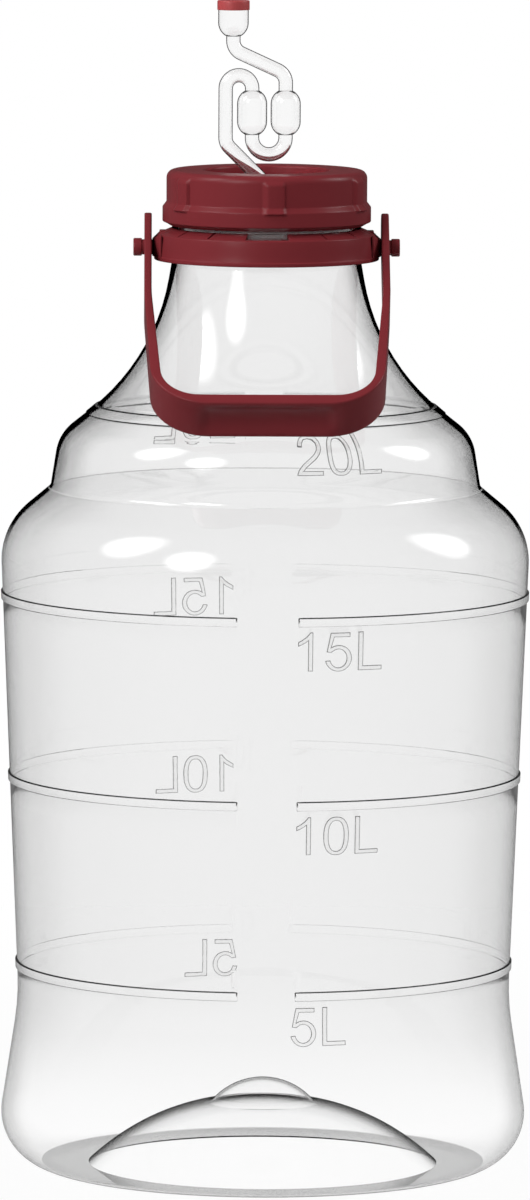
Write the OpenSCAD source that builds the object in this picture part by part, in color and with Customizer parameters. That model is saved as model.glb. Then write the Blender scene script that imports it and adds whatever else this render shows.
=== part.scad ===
// Fermentation jar: a clear blown jar with graduation bands, a carrier ring with a
// swinging handle on its neck, a screw lid, and an S-shaped airlock in the lid.
// The jar stands on the ground at z = 0, its axis is Z and the front looks to -Y.

/* [Jar] */
// Radius of the jar at its widest, under the shoulder
jar_r = 135.6; // [125:0.1:150]
// Height at which the shoulder turns in
shoulder_z = 329.1; // [300:0.1:360]
// Radius of the turn at the shoulder
shoulder_round = 36.8; // [20:1:45]
// Radius of the body at its waist
waist_r = 125.8; // [115:0.1:132]
// Height of the waist
waist_z = 86.3; // [70:1:110]
// Radius to which the flank above the heel runs out at the ground
heel_r = 139.1; // [130:0.1:155]
// Radius of the turn at the heel
heel_round = 28.1; // [18:1:30]
// Radius of the crease between the two bulges of the shoulder
crease_r = 109.9; // [100:0.1:118]
// Height of the crease
crease_z = 350.5; // [345:0.1:362]
// Radius at which the upper bulge turns towards the neck
bulge_r = 105.8; // [98:0.1:112]
// Height of that turn
bulge_z = 376.6; // [370:0.1:385]
// Radius of the turn of the upper bulge
bulge_round = 21.9; // [12:1:26]
// How far outside the neck its flare would meet the shoulder's slope
flare_out = 10.2; // [7:0.1:15]
// Height of that meeting
flare_z = 415.3; // [405:0.1:425]
// Radius of the hollow curve between neck and shoulder
flare_round = 109.6; // [60:1:115]
// Thickness of the blown wall
wall = 0.9; // [0.6:0.1:2]
// Inner radius of the ring on which the jar stands
foot_in_r = 89.2; // [80:0.1:100]
// Radius of the small dome in the middle of the base
dome_r = 25.6; // [15:0.1:35]
// Height at which the small dome starts
dome_z = 32.2; // [20:0.1:40]
// Rise of the small dome above its start
dome_rise = 11.8; // [6:0.1:16]
// Bow of the hollow base between its foot and the small dome
base_bow = 5.5; // [1:0.1:8]

/* [Neck] */
// Outer radius of the neck inside the carrier ring
neck_r = 46.8; // [44:0.1:48]
// Thickness of the neck's wall
neck_wall = 2.8; // [2:0.1:4]
// Height of the underside of the bead above the carrier ring
bead_z = 482.8; // [476:0.1:490]
// How far the bead stands out of the neck
bead_out = 1.5; // [0.8:0.1:1.7]
// Thickness of the bead
bead_h = 2.8; // [2:0.1:4]
// Height of the jar's rim above the underside of the bead
end_h = 25.8; // [22:0.1:32]
// How much slimmer the threaded end is than the neck
finish_in = 0.6; // [0:0.1:2]
// Width of the two lugs that keep the carrier ring from turning, in degrees
lug_angle = 17; // [8:1:20]
// How far the lugs stand out of the neck
lug_out = 2.8; // [1.6:0.1:4]

/* [Graduation bands] */
// Heights of the undersides of the four bands, from the lowest up
band_z = [102.4, 199.2, 292.4, 387.8];
// Height of a band
band_h = 4.7; // [3:0.1:8]
// How far a band stands out of the wall
band_proud = 0.9; // [0.4:0.1:1.5]
// Half of the gap in the bands at the front and back, in degrees
band_gap = 13; // [5:1:25]

/* [Carrier ring] */
// How far the ring's lower edge stands out of the neck
ring_out = 10.6; // [9:0.1:13]
// Height of the ring, from its lower edge to the bead
ring_h = 16.1; // [14:0.1:22]
// Height of the part in which the ring's wall turns in to its fingers
cone_h = 3; // [2:0.1:5]
// Thickness of the ring's wall
ring_wall = 2.2; // [1.5:0.1:3]
// Number of fingers round the ring
fingers = 16; // [8:4:24]
// Width of the slot between two fingers
slot_w = 1.2; // [0.6:0.1:2]
// Thickness of the ribs that centre the ring on the neck
ring_rib = 1.6; // [1:0.1:3]

/* [Handle] */
// Room between the ring's lower edge and the inner face of a handle arm
arm_room = 1.2; // [0.8:0.1:4]
// Thickness of an arm
arm_t = 3.8; // [3:0.1:6]
// Width of the handle's band
handle_w = 22.8; // [16:0.1:28]
// Distance from the pivot to the inner face of the grip
reach = 127; // [126.6:0.1:140]
// Thickness of the grip
grip_t = 7; // [5:0.1:10]
// How far the arms lean in by the time they turn into the grip
arm_lean = 6; // [2:0.1:12]
// Length of the arms that stays parallel, below their pivots
arm_straight = 48; // [30:1:70]
// Length of an arm beyond its pivot, to the centre of its round end
arm_tail = 9.4; // [6:0.1:14]
// Inner radius of the corner between arm and grip
corner_in = 20; // [10:1:28]
// Outer radius of the corner between arm and grip
corner_out = 30; // [20:1:38]
// Depth of the hollow along the outside of the grip
dish = 2.4; // [1:0.1:3.5]
// Width of that hollow
dish_w = 18; // [8:0.1:18]
// Height of the pivots above the lower edge of the carrier ring
pivot_up = 6.1; // [5:0.1:8]
// Radius of the pivot studs
stud_r = 3.9; // [3:0.1:4.5]
// Radius of the heads of the studs
head_r = 4.55; // [4.2:0.05:6]
// Thickness of the heads of the studs
head_t = 4.4; // [2:0.1:6]

/* [Lid] */
// How far the skirt's edge stands out of the lid's wall
skirt_out = 2; // [0.8:0.1:4]
// How far the grip ribs stand out of the lid's wall
lid_rib_out = 1.6; // [0.4:0.1:2.4]
// Thickness of the lid's wall
lid_wall = 2.5; // [1.9:0.1:3.2]
// Height of the flared skirt
skirt_h = 9.4; // [6:0.1:10]
// Radius of the round at the lid's top edge
lid_round = 4; // [2:0.1:6]
// Thickness of the lid's top
lid_t = 2.2; // [1.6:0.1:3]
// Room for the threads between the jar's end and the lid's wall
thread_room = 2.5; // [2.3:0.1:3.3]
// Number of grip panels
panels = 6; // [4:1:12]
// Width of the rib between two panels, in degrees
lid_rib_angle = 10.5; // [4:0.5:20]
// Turn of the lid from straight ahead, in degrees
lid_turn = 3.9; // [0:0.1:30]
// Radius of the hollow in the lid's top at its edge
well_r = 32; // [26:0.1:36]
// Depth of the hollow
well_depth = 13.8; // [8:0.1:16]
// Thickness of the seal under the lid
seal_t = 1.6; // [1:0.1:3]
// Radius of the hole for the grommet
hole_r = 7.5; // [6:0.1:10]
// Radius of the grommet's flanges
flange_r = 10.2; // [9:0.1:13]
// Thickness of the grommet's flanges
flange_t = 2; // [1:0.1:3]

/* [Airlock] */
// Outer radius of the airlock's tube
tube_r = 3.65; // [3:0.05:4.5]
// Wall of the tube, the bulbs and the cup
tube_wall = 0.9; // [0.6:0.1:1.4]
// Outer radius of the two bulbs
bulb_r = 7.65; // [6:0.05:8.2]
// Distance from the top of a bulb to its bottom
bulb_h = 22.5; // [18:0.1:30]
// Radius of the bend under the bulbs
u_bend = 8.55; // [8.3:0.05:12]
// Radius of the bend over the inner bulb
loop_bend = 6.75; // [6:0.05:8]
// Place of the inner bulb on X
inner_bulb_x = -7.7; // [-9:0.1:-7]
// Height of the middle of the bend under the bulbs above the lid
u_up = 16.3; // [15:0.1:22]
// Radius of the bends at the ends of the slanting tubes
knee = 7; // [6:0.1:10]
// Slope of the upper slanting tube, in degrees from level
upper_slope = 24.7; // [15:0.1:40]
// Place of the cup on X
cup_x = -17.4; // [-20:0.1:-15]
// Outer radius of the cup
cup_r = 7.75; // [7:0.05:9]
// Height of the cup's straight wall
cup_h = 10.2; // [6:0.1:14]
// Length of the stem below the lid's hollow
stem_below = 16; // [10:1:30]
// Outer radius of the airlock's cap
cap_r = 8.25; // [8.2:0.05:10]
// Height of the airlock's cap
cap_h = 4.8; // [4:0.1:8]

/* [Clearances] */
// Running clearance of the handle on its studs
stud_gap = 0.05; // [0.02:0.01:0.1]
// Gap beside the arms of the handle
side_gap = 0.3; // [0.2:0.05:0.6]
// Gap between parts that sit in or on each other
seat_gap = 0.05; // [0.03:0.01:0.1]
// Gap between the resting handle and the jar
rest_gap = 3.3; // [0.3:0.05:5]

/* [Hidden] */
$fn = 96;
clear_plastic = [0.86, 0.9, 0.92, 0.35];
dark_red = [0.42, 0.1, 0.12];
bright_red = [0.66, 0.16, 0.18];
rubber_grey = [0.35, 0.35, 0.36];

// Points on an arc about c, from angle a0 to angle a1
function arc(c, r, a0, a1, n) = [for (i = [0:n]) c + r * [cos(a0 + (a1 - a0) * i / n), sin(a0 + (a1 - a0) * i / n)]];

// Points on the arc from a to b that bows by h to the left of the way
function bow(a, b, h, n) =
    let (d = b - a, l = norm(d), side = [-d[1], d[0]] / l, r = (l * l / 4 + h * h) / (2 * h))
    let (c = (a + b) / 2 + side * (h - r), a0 = atan2(a[1] - c[1], a[0] - c[0]))
    let (swing = 2 * asin(l / (2 * r)))
    arc(c, r, a0, a0 - swing, n);

// Points that round the corner b, given as [x, y, radius], between a and c
function corner(a, b, c, step) =
    let (p = [b[0], b[1]], u = [a[0] - b[0], a[1] - b[1]], v = [c[0] - b[0], c[1] - b[1]])
    let (un = u / norm(u), vn = v / norm(v), half = acos(un * vn) / 2)
    let (m = p + (un + vn) / norm(un + vn) * b[2] / sin(half))
    let (s = p + un * b[2] / tan(half), e = p + vn * b[2] / tan(half))
    let (a0 = atan2(s[1] - m[1], s[0] - m[0]), raw = atan2(e[1] - m[1], e[0] - m[0]) - a0)
    let (turn = raw > 180 ? raw - 360 : raw < -180 ? raw + 360 : raw)
    arc(m, b[2], a0, a0 + turn, max(2, ceil(abs(turn) / step)));

// The path through points given as [x, y, radius], with its corners rounded
function rounded(p, step = 7) = [for (i = [0:len(p) - 1])
    each (p[i][2] == 0 ? [[p[i][0], p[i][1]]] : corner(p[i - 1], p[i], p[i + 1], step))];

function mirrored(p) = concat(p, [for (i = [len(p) - 1:-1:0]) [-p[i][0], p[i][1]]]);
function reversed(p) = [for (i = [len(p) - 1:-1:0]) p[i]];

// Thickness of the jar's wall at height z: the blown wall, growing to the neck's
thick_z = [bulge_z, bead_z];
function thickness(z) =
    let (t = min(1, max(0, (z - thick_z[0]) / (thick_z[1] - thick_z[0]))))
    wall + (neck_wall - wall) * t * t * (3 - 2 * t);

// The path moved to its left by the wall's thickness
function inside(p) = [for (i = [0:len(p) - 1])
    let (d = p[min(i + 1, len(p) - 1)] - p[max(i - 1, 0)], n = [-d[1], d[0]] / norm(d))
    let (q = p[i] + n * thickness(p[i][1]))
    [i == 0 ? 0 : max(0, q[0]), q[1]]];

// Radii that follow the neck's
flare_r = neck_r + flare_out;
bead_r = neck_r + bead_out;
finish_r = neck_r - finish_in;
lug_r = neck_r + lug_out;
ring_r = neck_r + ring_out;
arm_in = ring_r + arm_room;
grip_in = arm_in - arm_lean;
lid_bore_r = finish_r + thread_room;
panel_r = lid_bore_r + lid_wall;
lid_rib_r = panel_r + lid_rib_out;
lid_r = panel_r + skirt_out;

// Heights that follow the bead's
rim_z = bead_z + end_h;
ring_z = bead_z - ring_h;
ring_top_z = bead_z - cone_h;

// Outline of the jar's outside, from the middle of the base to the bead on the neck
waist_round = 121.9;
crease_round = 3.9;
neck_turn = 8.2;
neck_turn_z = bead_z - neck_turn;
neck_turn_round = 10;
dome_round = (dome_r * dome_r + dome_rise * dome_rise) / (2 * dome_rise);
base_path = concat(
    arc([0, dome_z + dome_rise - dome_round], dome_round, 90, 90 - asin(dome_r / dome_round), 6),
    [for (i = [1:10]) bow([dome_r, dome_z], [foot_in_r, 0], base_bow, 10)[i]]);
side_path = rounded([
    [foot_in_r, 0, 0],
    [heel_r, 0, heel_round],
    [waist_r, waist_z, waist_round],
    [jar_r, shoulder_z, shoulder_round],
    [crease_r, crease_z, crease_round],
    [bulge_r, bulge_z, bulge_round],
    [flare_r, flare_z, flare_round],
    [neck_r, neck_turn_z, neck_turn_round],
    [neck_r, bead_z, 0]]);
jar_path = concat(base_path, [for (i = [1:len(side_path) - 1]) side_path[i]]);
side_table = [for (p = side_path) if (p[1] > heel_round) [p[1], p[0]]];

// Radius of the jar's outside at height z, above the heel
function side_r(z) = lookup(z, side_table);

// Places that several parts share
rim_in_r = neck_r - neck_wall;
pivot_z = ring_z + pivot_up;
lid_z = bead_z + 1.5;
lid_top = rim_z + 2 * seat_gap + seal_t + lid_t;
well_floor = lid_top - well_depth;

// Angle of the resting handle from straight down: the steepest that stays off the jar
function off_jar(a) = max([for (z = [crease_z:0.5:pivot_z])
    let (s = side_r(z) * sin(a) + (pivot_z - z) * cos(a))
    s < reach - rest_gap || s > reach + grip_t + rest_gap ? -reach
        : side_r(z) * cos(a) - (pivot_z - z) * sin(a)]) < -handle_w / 2 - rest_gap;
rest_angle = min([for (a = [20:0.1:85]) if (off_jar(a)) a]);

module band(z) {
    edge = 0.5;
    foot = wall / 2;
    section = [[side_r(z) - foot, z], [side_r(z) + band_proud * 0.4, z],
               [side_r(z + edge) + band_proud, z + edge],
               [side_r(z + band_h - edge) + band_proud, z + band_h - edge],
               [side_r(z + band_h) + band_proud * 0.4, z + band_h],
               [side_r(z + band_h) - foot, z + band_h]];
    for (start = [-90, 90])
        rotate_extrude(angle = 180 - 2 * band_gap, start = start + band_gap) polygon(section);
}

module jar_body() {
    edge = 0.8;
    neck = [[bead_r, bead_z], [bead_r, bead_z + bead_h], [finish_r, bead_z + bead_h + edge],
            [finish_r, rim_z - edge], [finish_r - edge, rim_z], [rim_in_r, rim_z]];
    lug_h = 5;
    color(clear_plastic) {
        rotate_extrude() polygon(concat(jar_path, neck, reversed(inside(jar_path))));
        for (z = band_z) band(z);
        for (a = [-90, 90])
            rotate_extrude(angle = lug_angle, start = a - lug_angle / 2)
                translate([neck_r - neck_wall / 2, bead_z - lug_h])
                    square([lug_r - neck_r + neck_wall / 2, lug_h + bead_h / 2]);
    }
}

module carrier_ring() {
    hem_h = 2.4;
    hem = 0.6;
    finger_gap = 0.3;
    top_r = ring_r - 1.6;
    tip_r = bead_r + 0.3;
    pitch = 360 / fingers;
    shell = [[ring_r, ring_z], [ring_r, ring_z + hem_h - hem], [ring_r - hem, ring_z + hem_h],
             [top_r, ring_top_z], [tip_r, bead_z - seat_gap], [neck_r + finger_gap, bead_z - seat_gap],
             [neck_r + finger_gap, bead_z - ring_wall], [top_r - ring_wall, ring_top_z - ring_wall],
             [ring_r - ring_wall, ring_z]];
    face = arm_in - side_gap;
    color(dark_red) {
        difference() {
            union() {
                rotate_extrude() polygon(shell);
                for (side = [0, 180]) rotate([0, 0, side]) pivot_boss(face);
            }
            for (i = [0:fingers - 1]) rotate([0, 0, (i + 0.5) * pitch])
                translate([neck_r - 1, -slot_w / 2, ring_top_z - ring_wall - 1])
                    cube([top_r - neck_r, slot_w, bead_z]);
            for (a = [-90, 90]) rotate_extrude(angle = pitch, start = a - pitch / 2)
                translate([neck_r - 1, ring_top_z - ring_wall - 1]) square([top_r - neck_r, bead_z]);
        }
        for (i = [0:fingers - 1]) rotate([0, 0, i * pitch])
            if (abs(sin(i * pitch)) < 0.99) rotate([90, 0, 0])
                translate([0, 0, -ring_rib / 2]) linear_extrude(ring_rib)
                    polygon([[side_r(ring_z + 1) + finger_gap, ring_z + 1],
                             [ring_r - ring_wall / 2, ring_z + 1],
                             [top_r - ring_wall / 2, ring_top_z - ring_wall],
                             [neck_r + finger_gap + ring_wall, ring_top_z - ring_wall],
                             [neck_r + finger_gap, neck_turn_z]]);
    }
}

// Boss and stud on one side of the carrier ring, pointing to +X
module pivot_boss(face) {
    pad_w = 38;
    pad_h = 12;
    pad_x = ring_r - 3.8;
    roof_x = ring_r - 2.7;
    roof_w = 10;
    stud_x = arm_in + arm_t;
    head_x = stud_x + 1.2;
    chamfer = 0.5;
    hull() {
        translate([pad_x, -pad_w / 2, pivot_z - pad_h * 0.42]) cube([0.8, pad_w, pad_h]);
        translate([face - 0.5, 0, pivot_z]) rotate([0, 90, 0]) cylinder(r = head_r, h = 0.5, $fn = 32);
    }
    translate([bead_r + 1, -roof_w / 2, ring_top_z - ring_wall - 0.5])
        cube([roof_x - bead_r - 1, roof_w, ring_wall + 2.2]);
    translate([face - 1, 0, pivot_z]) rotate([0, 90, 0]) rotate_extrude() polygon([
        [0, 0], [stud_r, 0], [stud_r, head_x - face + 1], [head_r - chamfer, head_x - face + 1],
        [head_r, head_x - face + 1 + chamfer], [head_r, head_x - face + 1 + head_t - chamfer],
        [head_r - chamfer, head_x - face + 1 + head_t], [0, head_x - face + 1 + head_t]]);
}

module handle() {
    end = arm_tail + handle_w;
    arm_bend = 150;
    corner_t = 5.3;
    outside = rounded([[arm_in + arm_t, end, 0], [arm_in + arm_t, -arm_straight, arm_bend],
                       [grip_in + corner_t, -reach - grip_t, corner_out], [0, -reach - grip_t, 0]]);
    within = rounded([[arm_in, end, 0], [arm_in, -arm_straight, arm_bend],
                      [grip_in, -reach, corner_in], [0, -reach, 0]]);
    dish_round = (dish_w * dish_w / 4 + dish * dish) / (2 * dish);
    dish_run = 6;
    dish_l = 2 * (grip_in + corner_t - corner_out + dish_run);
    color(dark_red) translate([0, 0, pivot_z]) rotate([-rest_angle, 0, 0]) difference() {
        intersection() {
            rotate([90, 0, 0]) translate([0, 0, -handle_w / 2]) linear_extrude(handle_w)
                difference() {
                    polygon(mirrored(outside));
                    polygon(mirrored(within));
                }
            union() {
                translate([-jar_r, -handle_w / 2, -2 * reach]) cube([2 * jar_r, handle_w, 2 * reach + arm_tail]);
                translate([-jar_r, 0, arm_tail]) rotate([0, 90, 0]) cylinder(r = handle_w / 2, h = 2 * jar_r);
            }
        }
        translate([-dish_l / 2, 0, -reach - grip_t + dish - dish_round]) rotate([0, 90, 0])
            cylinder(r = dish_round, h = dish_l);
        translate([-jar_r, 0, 0]) rotate([0, 90, 0]) cylinder(r = stud_r + stud_gap, h = 2 * jar_r);
    }
}

module screw_lid() {
    flare = 2.6;
    lip = 0.7;
    well_taper = 0.8;
    skirt_top = lid_z + skirt_h;
    rib_top = lid_top - lid_round;
    section = concat(
        [[lid_bore_r, lid_z], [lid_bore_r + lip, lid_z], [lid_r - 2, lid_z + 1.1], [lid_r, lid_z + 2],
         [lid_r, skirt_top], [panel_r, skirt_top + flare]],
        arc([panel_r - lid_round, lid_top - lid_round], lid_round, 0, 90, 6),
        [[well_r, lid_top], [well_r - well_taper, well_floor], [hole_r, well_floor],
         [hole_r, well_floor - lid_t], [well_r - well_taper + lid_t, well_floor - lid_t],
         [well_r + lid_t, lid_top - lid_t], [lid_bore_r, lid_top - lid_t]]);
    rib = [[panel_r - 1, skirt_top - 1], [lid_rib_r, skirt_top - 1], [lid_rib_r, rib_top - 1],
           [panel_r - 0.3, rib_top + 1], [panel_r - 1, rib_top + 1]];
    color(dark_red) {
        rotate_extrude() polygon(section);
        for (i = [0:panels - 1])
            rotate_extrude(angle = lid_rib_angle, start = lid_turn - 90 + i * 360 / panels - lid_rib_angle / 2)
                polygon(rib);
    }
}

module lid_seal() {
    edge = 0.3;
    color(rubber_grey) translate([0, 0, rim_z + seat_gap]) rotate_extrude()
        translate([rim_in_r - 1, 0]) square([lid_bore_r - edge - rim_in_r + 1, seal_t]);
}

module airlock_grommet() {
    chamfer = 0.6;
    bore = tube_r + seat_gap;
    top = well_floor + seat_gap;
    under = well_floor - lid_t - seat_gap;
    color(rubber_grey) rotate_extrude() polygon([
        [bore, under - flange_t], [flange_r - chamfer, under - flange_t], [flange_r, under - flange_t + chamfer],
        [flange_r, under], [hole_r - seat_gap, under], [hole_r - seat_gap, top], [flange_r, top],
        [flange_r, top + flange_t - chamfer], [flange_r - chamfer, top + flange_t], [bore, top + flange_t]]);
}

// Places of the airlock, as [x, z], with z counted from the lid's top
outer_bulb_x = inner_bulb_x + 2 * u_bend;
down_x = inner_bulb_x - 2 * loop_bend;
bulb_stub = 1.5;
bulb_dome = sqrt(bulb_r * bulb_r - tube_r * tube_r);
bulb_z = u_up + bulb_stub;
bulb_top = bulb_z + bulb_h;
loop_z = bulb_top + 1;
slant_z = 13.3;
stem_z = -well_depth - stem_below;
riser = 8.5;
cup_stub = 6.8;
upper_z = bulb_top + riser;
cup_z = upper_z + (outer_bulb_x - cup_x) * tan(upper_slope);
cup_foot = cup_z + cup_stub;
cup_dome = sqrt(cup_r * cup_r - tube_r * tube_r);
cup_top = cup_foot + cup_dome + cup_h;
cap_roof = 1.2;
cap_z = lid_top + cup_top + seat_gap + cap_roof - cap_h;

module ring_section(slim = 0) {
    difference() {
        circle(r = tube_r - slim);
        circle(r = tube_r - tube_wall + slim);
    }
}

// Piece of tube from a to b, in the plane of X and Z, its ends let into its neighbours' walls
module tube_between(a, b) {
    slim = 0.01;
    let_in = 0.2;
    d = b - a;
    translate([a[0], 0, a[1]]) rotate([0, atan2(d[0], d[1]), 0]) translate([0, 0, -let_in])
        linear_extrude(norm(d) + 2 * let_in) ring_section(slim);
}

// Bent piece of tube about c, from angle a0 through the given turn
module tube_bend(c, r, a0, turn) {
    translate([c[0], 0, c[1]]) rotate([90, 0, 0])
        rotate_extrude(angle = turn, start = a0) translate([r, 0]) ring_section();
}

// Tube along points given as [x, z], with bends of one radius at the inner ones
module tube_run(p) {
    last = len(p) - 1;
    u = [for (i = [0:last - 1]) (p[i + 1] - p[i]) / norm(p[i + 1] - p[i])];
    half = [for (i = [1:last - 1]) acos(u[i - 1] * u[i]) / 2];
    cut = [0, for (h = half) knee * tan(h), 0];
    for (i = [0:last - 1]) tube_between(p[i] + u[i] * cut[i], p[i + 1] - u[i] * cut[i + 1]);
    for (i = [1:last - 1]) {
        left = u[i - 1][0] * u[i][1] - u[i - 1][1] * u[i][0] > 0;
        side = (left ? 1 : -1) * [-u[i - 1][1], u[i - 1][0]];
        start = p[i] - u[i - 1] * cut[i];
        c = start + side * knee;
        a0 = atan2(start[1] - c[1], start[0] - c[0]);
        tube_bend(c, knee, left ? a0 : a0 - 2 * half[i - 1], 2 * half[i - 1]);
    }
}

module bulb(x) {
    steps = 8;
    tilt = asin(tube_r / bulb_r);
    low = bulb_z + bulb_dome;
    high = bulb_top - bulb_dome;
    shell = concat(arc([0, low], bulb_r, tilt - 90, 0, steps), arc([0, high], bulb_r, 0, 90 - tilt, steps));
    inner_r = bulb_r - tube_wall;
    inner_tilt = asin((tube_r - tube_wall) / inner_r);
    inner_dome = sqrt(inner_r * inner_r - pow(tube_r - tube_wall, 2));
    space = concat([[tube_r - tube_wall, bulb_top]], arc([0, high], inner_r, 90 - inner_tilt, 0, steps),
                   arc([0, low], inner_r, 0, inner_tilt - 90, steps), [[tube_r - tube_wall, bulb_z]]);
    translate([x, 0, 0]) rotate_extrude() polygon(concat(shell, space));
}

module cup() {
    steps = 8;
    tilt = asin(tube_r / cup_r);
    inner_r = cup_r - tube_wall;
    inner_tilt = asin((tube_r - tube_wall) / inner_r);
    centre = cup_foot + cup_dome;
    translate([cup_x, 0, 0]) rotate_extrude() polygon(concat(
        arc([0, centre], cup_r, tilt - 90, 0, steps), [[cup_r, cup_top], [inner_r, cup_top]],
        arc([0, centre], inner_r, 0, inner_tilt - 90, steps), [[tube_r - tube_wall, cup_foot]]));
}

module airlock_tube() {
    color(clear_plastic) translate([0, 0, lid_top]) {
        tube_run([[0, stem_z], [0, slant_z + down_x], [down_x, slant_z], [down_x, loop_z]]);
        tube_bend([(down_x + inner_bulb_x) / 2, loop_z], loop_bend, 0, 180);
        tube_between([inner_bulb_x, bulb_top], [inner_bulb_x, loop_z]);
        bulb(inner_bulb_x);
        tube_between([inner_bulb_x, u_up], [inner_bulb_x, bulb_z]);
        tube_bend([(inner_bulb_x + outer_bulb_x) / 2, u_up], u_bend, 180, 180);
        tube_between([outer_bulb_x, u_up], [outer_bulb_x, bulb_z]);
        bulb(outer_bulb_x);
        tube_run([[outer_bulb_x, bulb_top], [outer_bulb_x, upper_z], [cup_x, cup_z], [cup_x, cup_foot]]);
        cup();
    }
}

module airlock_cap() {
    edge = 0.5;
    color(bright_red) translate([cup_x, 0, cap_z]) rotate_extrude() polygon([
        [cup_r + seat_gap, 0], [cap_r, 0], [cap_r, cap_h - edge], [cap_r - edge, cap_h], [0, cap_h],
        [0, cap_h - cap_roof], [cup_r + seat_gap, cap_h - cap_roof]]);
}

jar_body();
carrier_ring();
handle();
screw_lid();
lid_seal();
airlock_grommet();
airlock_tube();
airlock_cap();
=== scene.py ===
import bmesh
import bpy
import math
from mathutils import Matrix, Vector


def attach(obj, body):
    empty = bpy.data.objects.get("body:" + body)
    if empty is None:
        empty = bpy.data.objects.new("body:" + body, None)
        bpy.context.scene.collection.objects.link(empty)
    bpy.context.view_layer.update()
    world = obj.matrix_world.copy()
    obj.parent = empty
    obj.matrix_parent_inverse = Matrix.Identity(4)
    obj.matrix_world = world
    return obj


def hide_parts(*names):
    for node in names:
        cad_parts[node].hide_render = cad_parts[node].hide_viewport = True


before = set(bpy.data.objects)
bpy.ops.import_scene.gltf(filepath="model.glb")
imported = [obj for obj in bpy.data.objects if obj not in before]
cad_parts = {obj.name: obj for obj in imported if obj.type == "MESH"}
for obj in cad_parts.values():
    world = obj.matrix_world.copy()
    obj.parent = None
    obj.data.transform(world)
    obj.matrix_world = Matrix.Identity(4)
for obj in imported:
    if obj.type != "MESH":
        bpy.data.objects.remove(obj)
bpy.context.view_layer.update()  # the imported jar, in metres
scene = bpy.context.scene
mm = 0.001


# Outlines are lists of (radius, height), in millimetres

def arcPoints(centre, radius, start, end, count):
    angles = [math.radians(start + (end - start) * i / count) for i in range(count + 1)]
    return [(centre[0] + radius * math.cos(a), centre[1] + radius * math.sin(a)) for a in angles]


def bowedLine(a, b, rise, count):  # an arc from a to b, bowed to the left
    dx, dy = b[0] - a[0], b[1] - a[1]
    length = math.hypot(dx, dy)
    radius = (length * length / 4 + rise * rise) / (2 * rise)
    centre = ((a[0] + b[0]) / 2 - dy / length * (rise - radius), (a[1] + b[1]) / 2 + dx / length * (rise - radius))
    start = math.degrees(math.atan2(a[1] - centre[1], a[0] - centre[0]))
    swing = 2 * math.degrees(math.asin(length / (2 * radius)))
    return arcPoints(centre, radius, start, start - swing, count)


def roundCorner(before, corner, after, step, count=None):
    p = Vector(corner[:2])
    u, v = (Vector(before[:2]) - p).normalized(), (Vector(after[:2]) - p).normalized()
    half = math.acos(max(-1, min(1, u.dot(v)))) / 2
    middle = p + (u + v).normalized() * corner[2] / math.sin(half)
    start, end = p + u * corner[2] / math.tan(half), p + v * corner[2] / math.tan(half)
    a = math.atan2(start.y - middle.y, start.x - middle.x)
    turn = math.remainder(math.atan2(end.y - middle.y, end.x - middle.x) - a, 2 * math.pi)
    steps = count or max(2, math.ceil(abs(math.degrees(turn)) / step))
    return arcPoints(middle, corner[2], math.degrees(a), math.degrees(a + turn), steps)


def roundedPath(corners, step=6, count=None):  # corners are (x, y) or (x, y, radius)
    path = []
    for i, c in enumerate(corners):
        if len(c) == 2 or c[2] == 0:
            path.append((c[0], c[1]))
        else:
            path += roundCorner(corners[i - 1], c, corners[(i + 1) % len(corners)], step, count)
    return path


def splitPath(path, longest):  # adds points so that no stretch is longer
    out = [path[0]]
    for a, b in zip(path, path[1:]):
        pieces = max(1, math.ceil(math.dist(a, b) / longest))
        out += [(a[0] + (b[0] - a[0]) * i / pieces, a[1] + (b[1] - a[1]) * i / pieces) for i in range(1, pieces + 1)]
    return out


def offsetPath(path, amount):  # moves the path to its left by amount(height)
    out = []
    for i, p in enumerate(path):
        a, b = path[max(i - 1, 0)], path[min(i + 1, len(path) - 1)]
        length = math.dist(a, b)
        t = amount(p[1])
        out.append((max(0, p[0] - (b[1] - a[1]) / length * t), p[1] + (b[0] - a[0]) / length * t))
    return out


def ramp(value, low, high):  # smooth step from 0 at low to 1 at high
    t = max(0.0, min(1.0, (value - low) / (high - low)))
    return t * t * (3 - 2 * t)


def radiusAt(path, height):
    for a, b in zip(path, path[1:]):
        if min(a[1], b[1]) <= height <= max(a[1], b[1]) and a[1] != b[1]:
            return a[0] + (b[0] - a[0]) * (height - a[1]) / (b[1] - a[1])
    return path[-1][0]


# Meshes

def finishMesh(name, bm, sharp=40):
    bmesh.ops.remove_doubles(bm, verts=bm.verts, dist=1e-7)
    bmesh.ops.recalc_face_normals(bm, faces=bm.faces)
    mesh = bpy.data.meshes.new(name)
    bm.to_mesh(mesh)
    bm.free()
    mesh.shade_smooth()
    mesh.set_sharp_from_angle(angle=math.radians(sharp))
    made = bpy.data.objects.new(name, mesh)
    scene.collection.objects.link(made)
    return made


def bridgeRings(name, rings, closed=False, caps=False, sharp=40, finish=None):  # rings of millimetre points, or single points for poles
    bm = bmesh.new()
    made = [[bm.verts.new(Vector(p) * mm) for p in ring] for ring in rings]
    pairs = list(zip(made, made[1:])) + ([(made[-1], made[0])] if closed else [])
    for row, (a, b) in enumerate(pairs):
        count = max(len(a), len(b))
        for i in range(count):
            j = (i + 1) % count
            corners = [a[i % len(a)], a[j % len(a)], b[j % len(b)], b[i % len(b)]]
            face = [v for k, v in enumerate(corners) if v not in corners[:k]]
            if len(face) > 2:
                bm.faces.new(face).material_index = finish(row, i) if finish else 0
    if caps:
        bm.faces.new(made[0])
        bm.faces.new(list(reversed(made[-1])))
    return finishMesh(name, bm, sharp)


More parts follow.
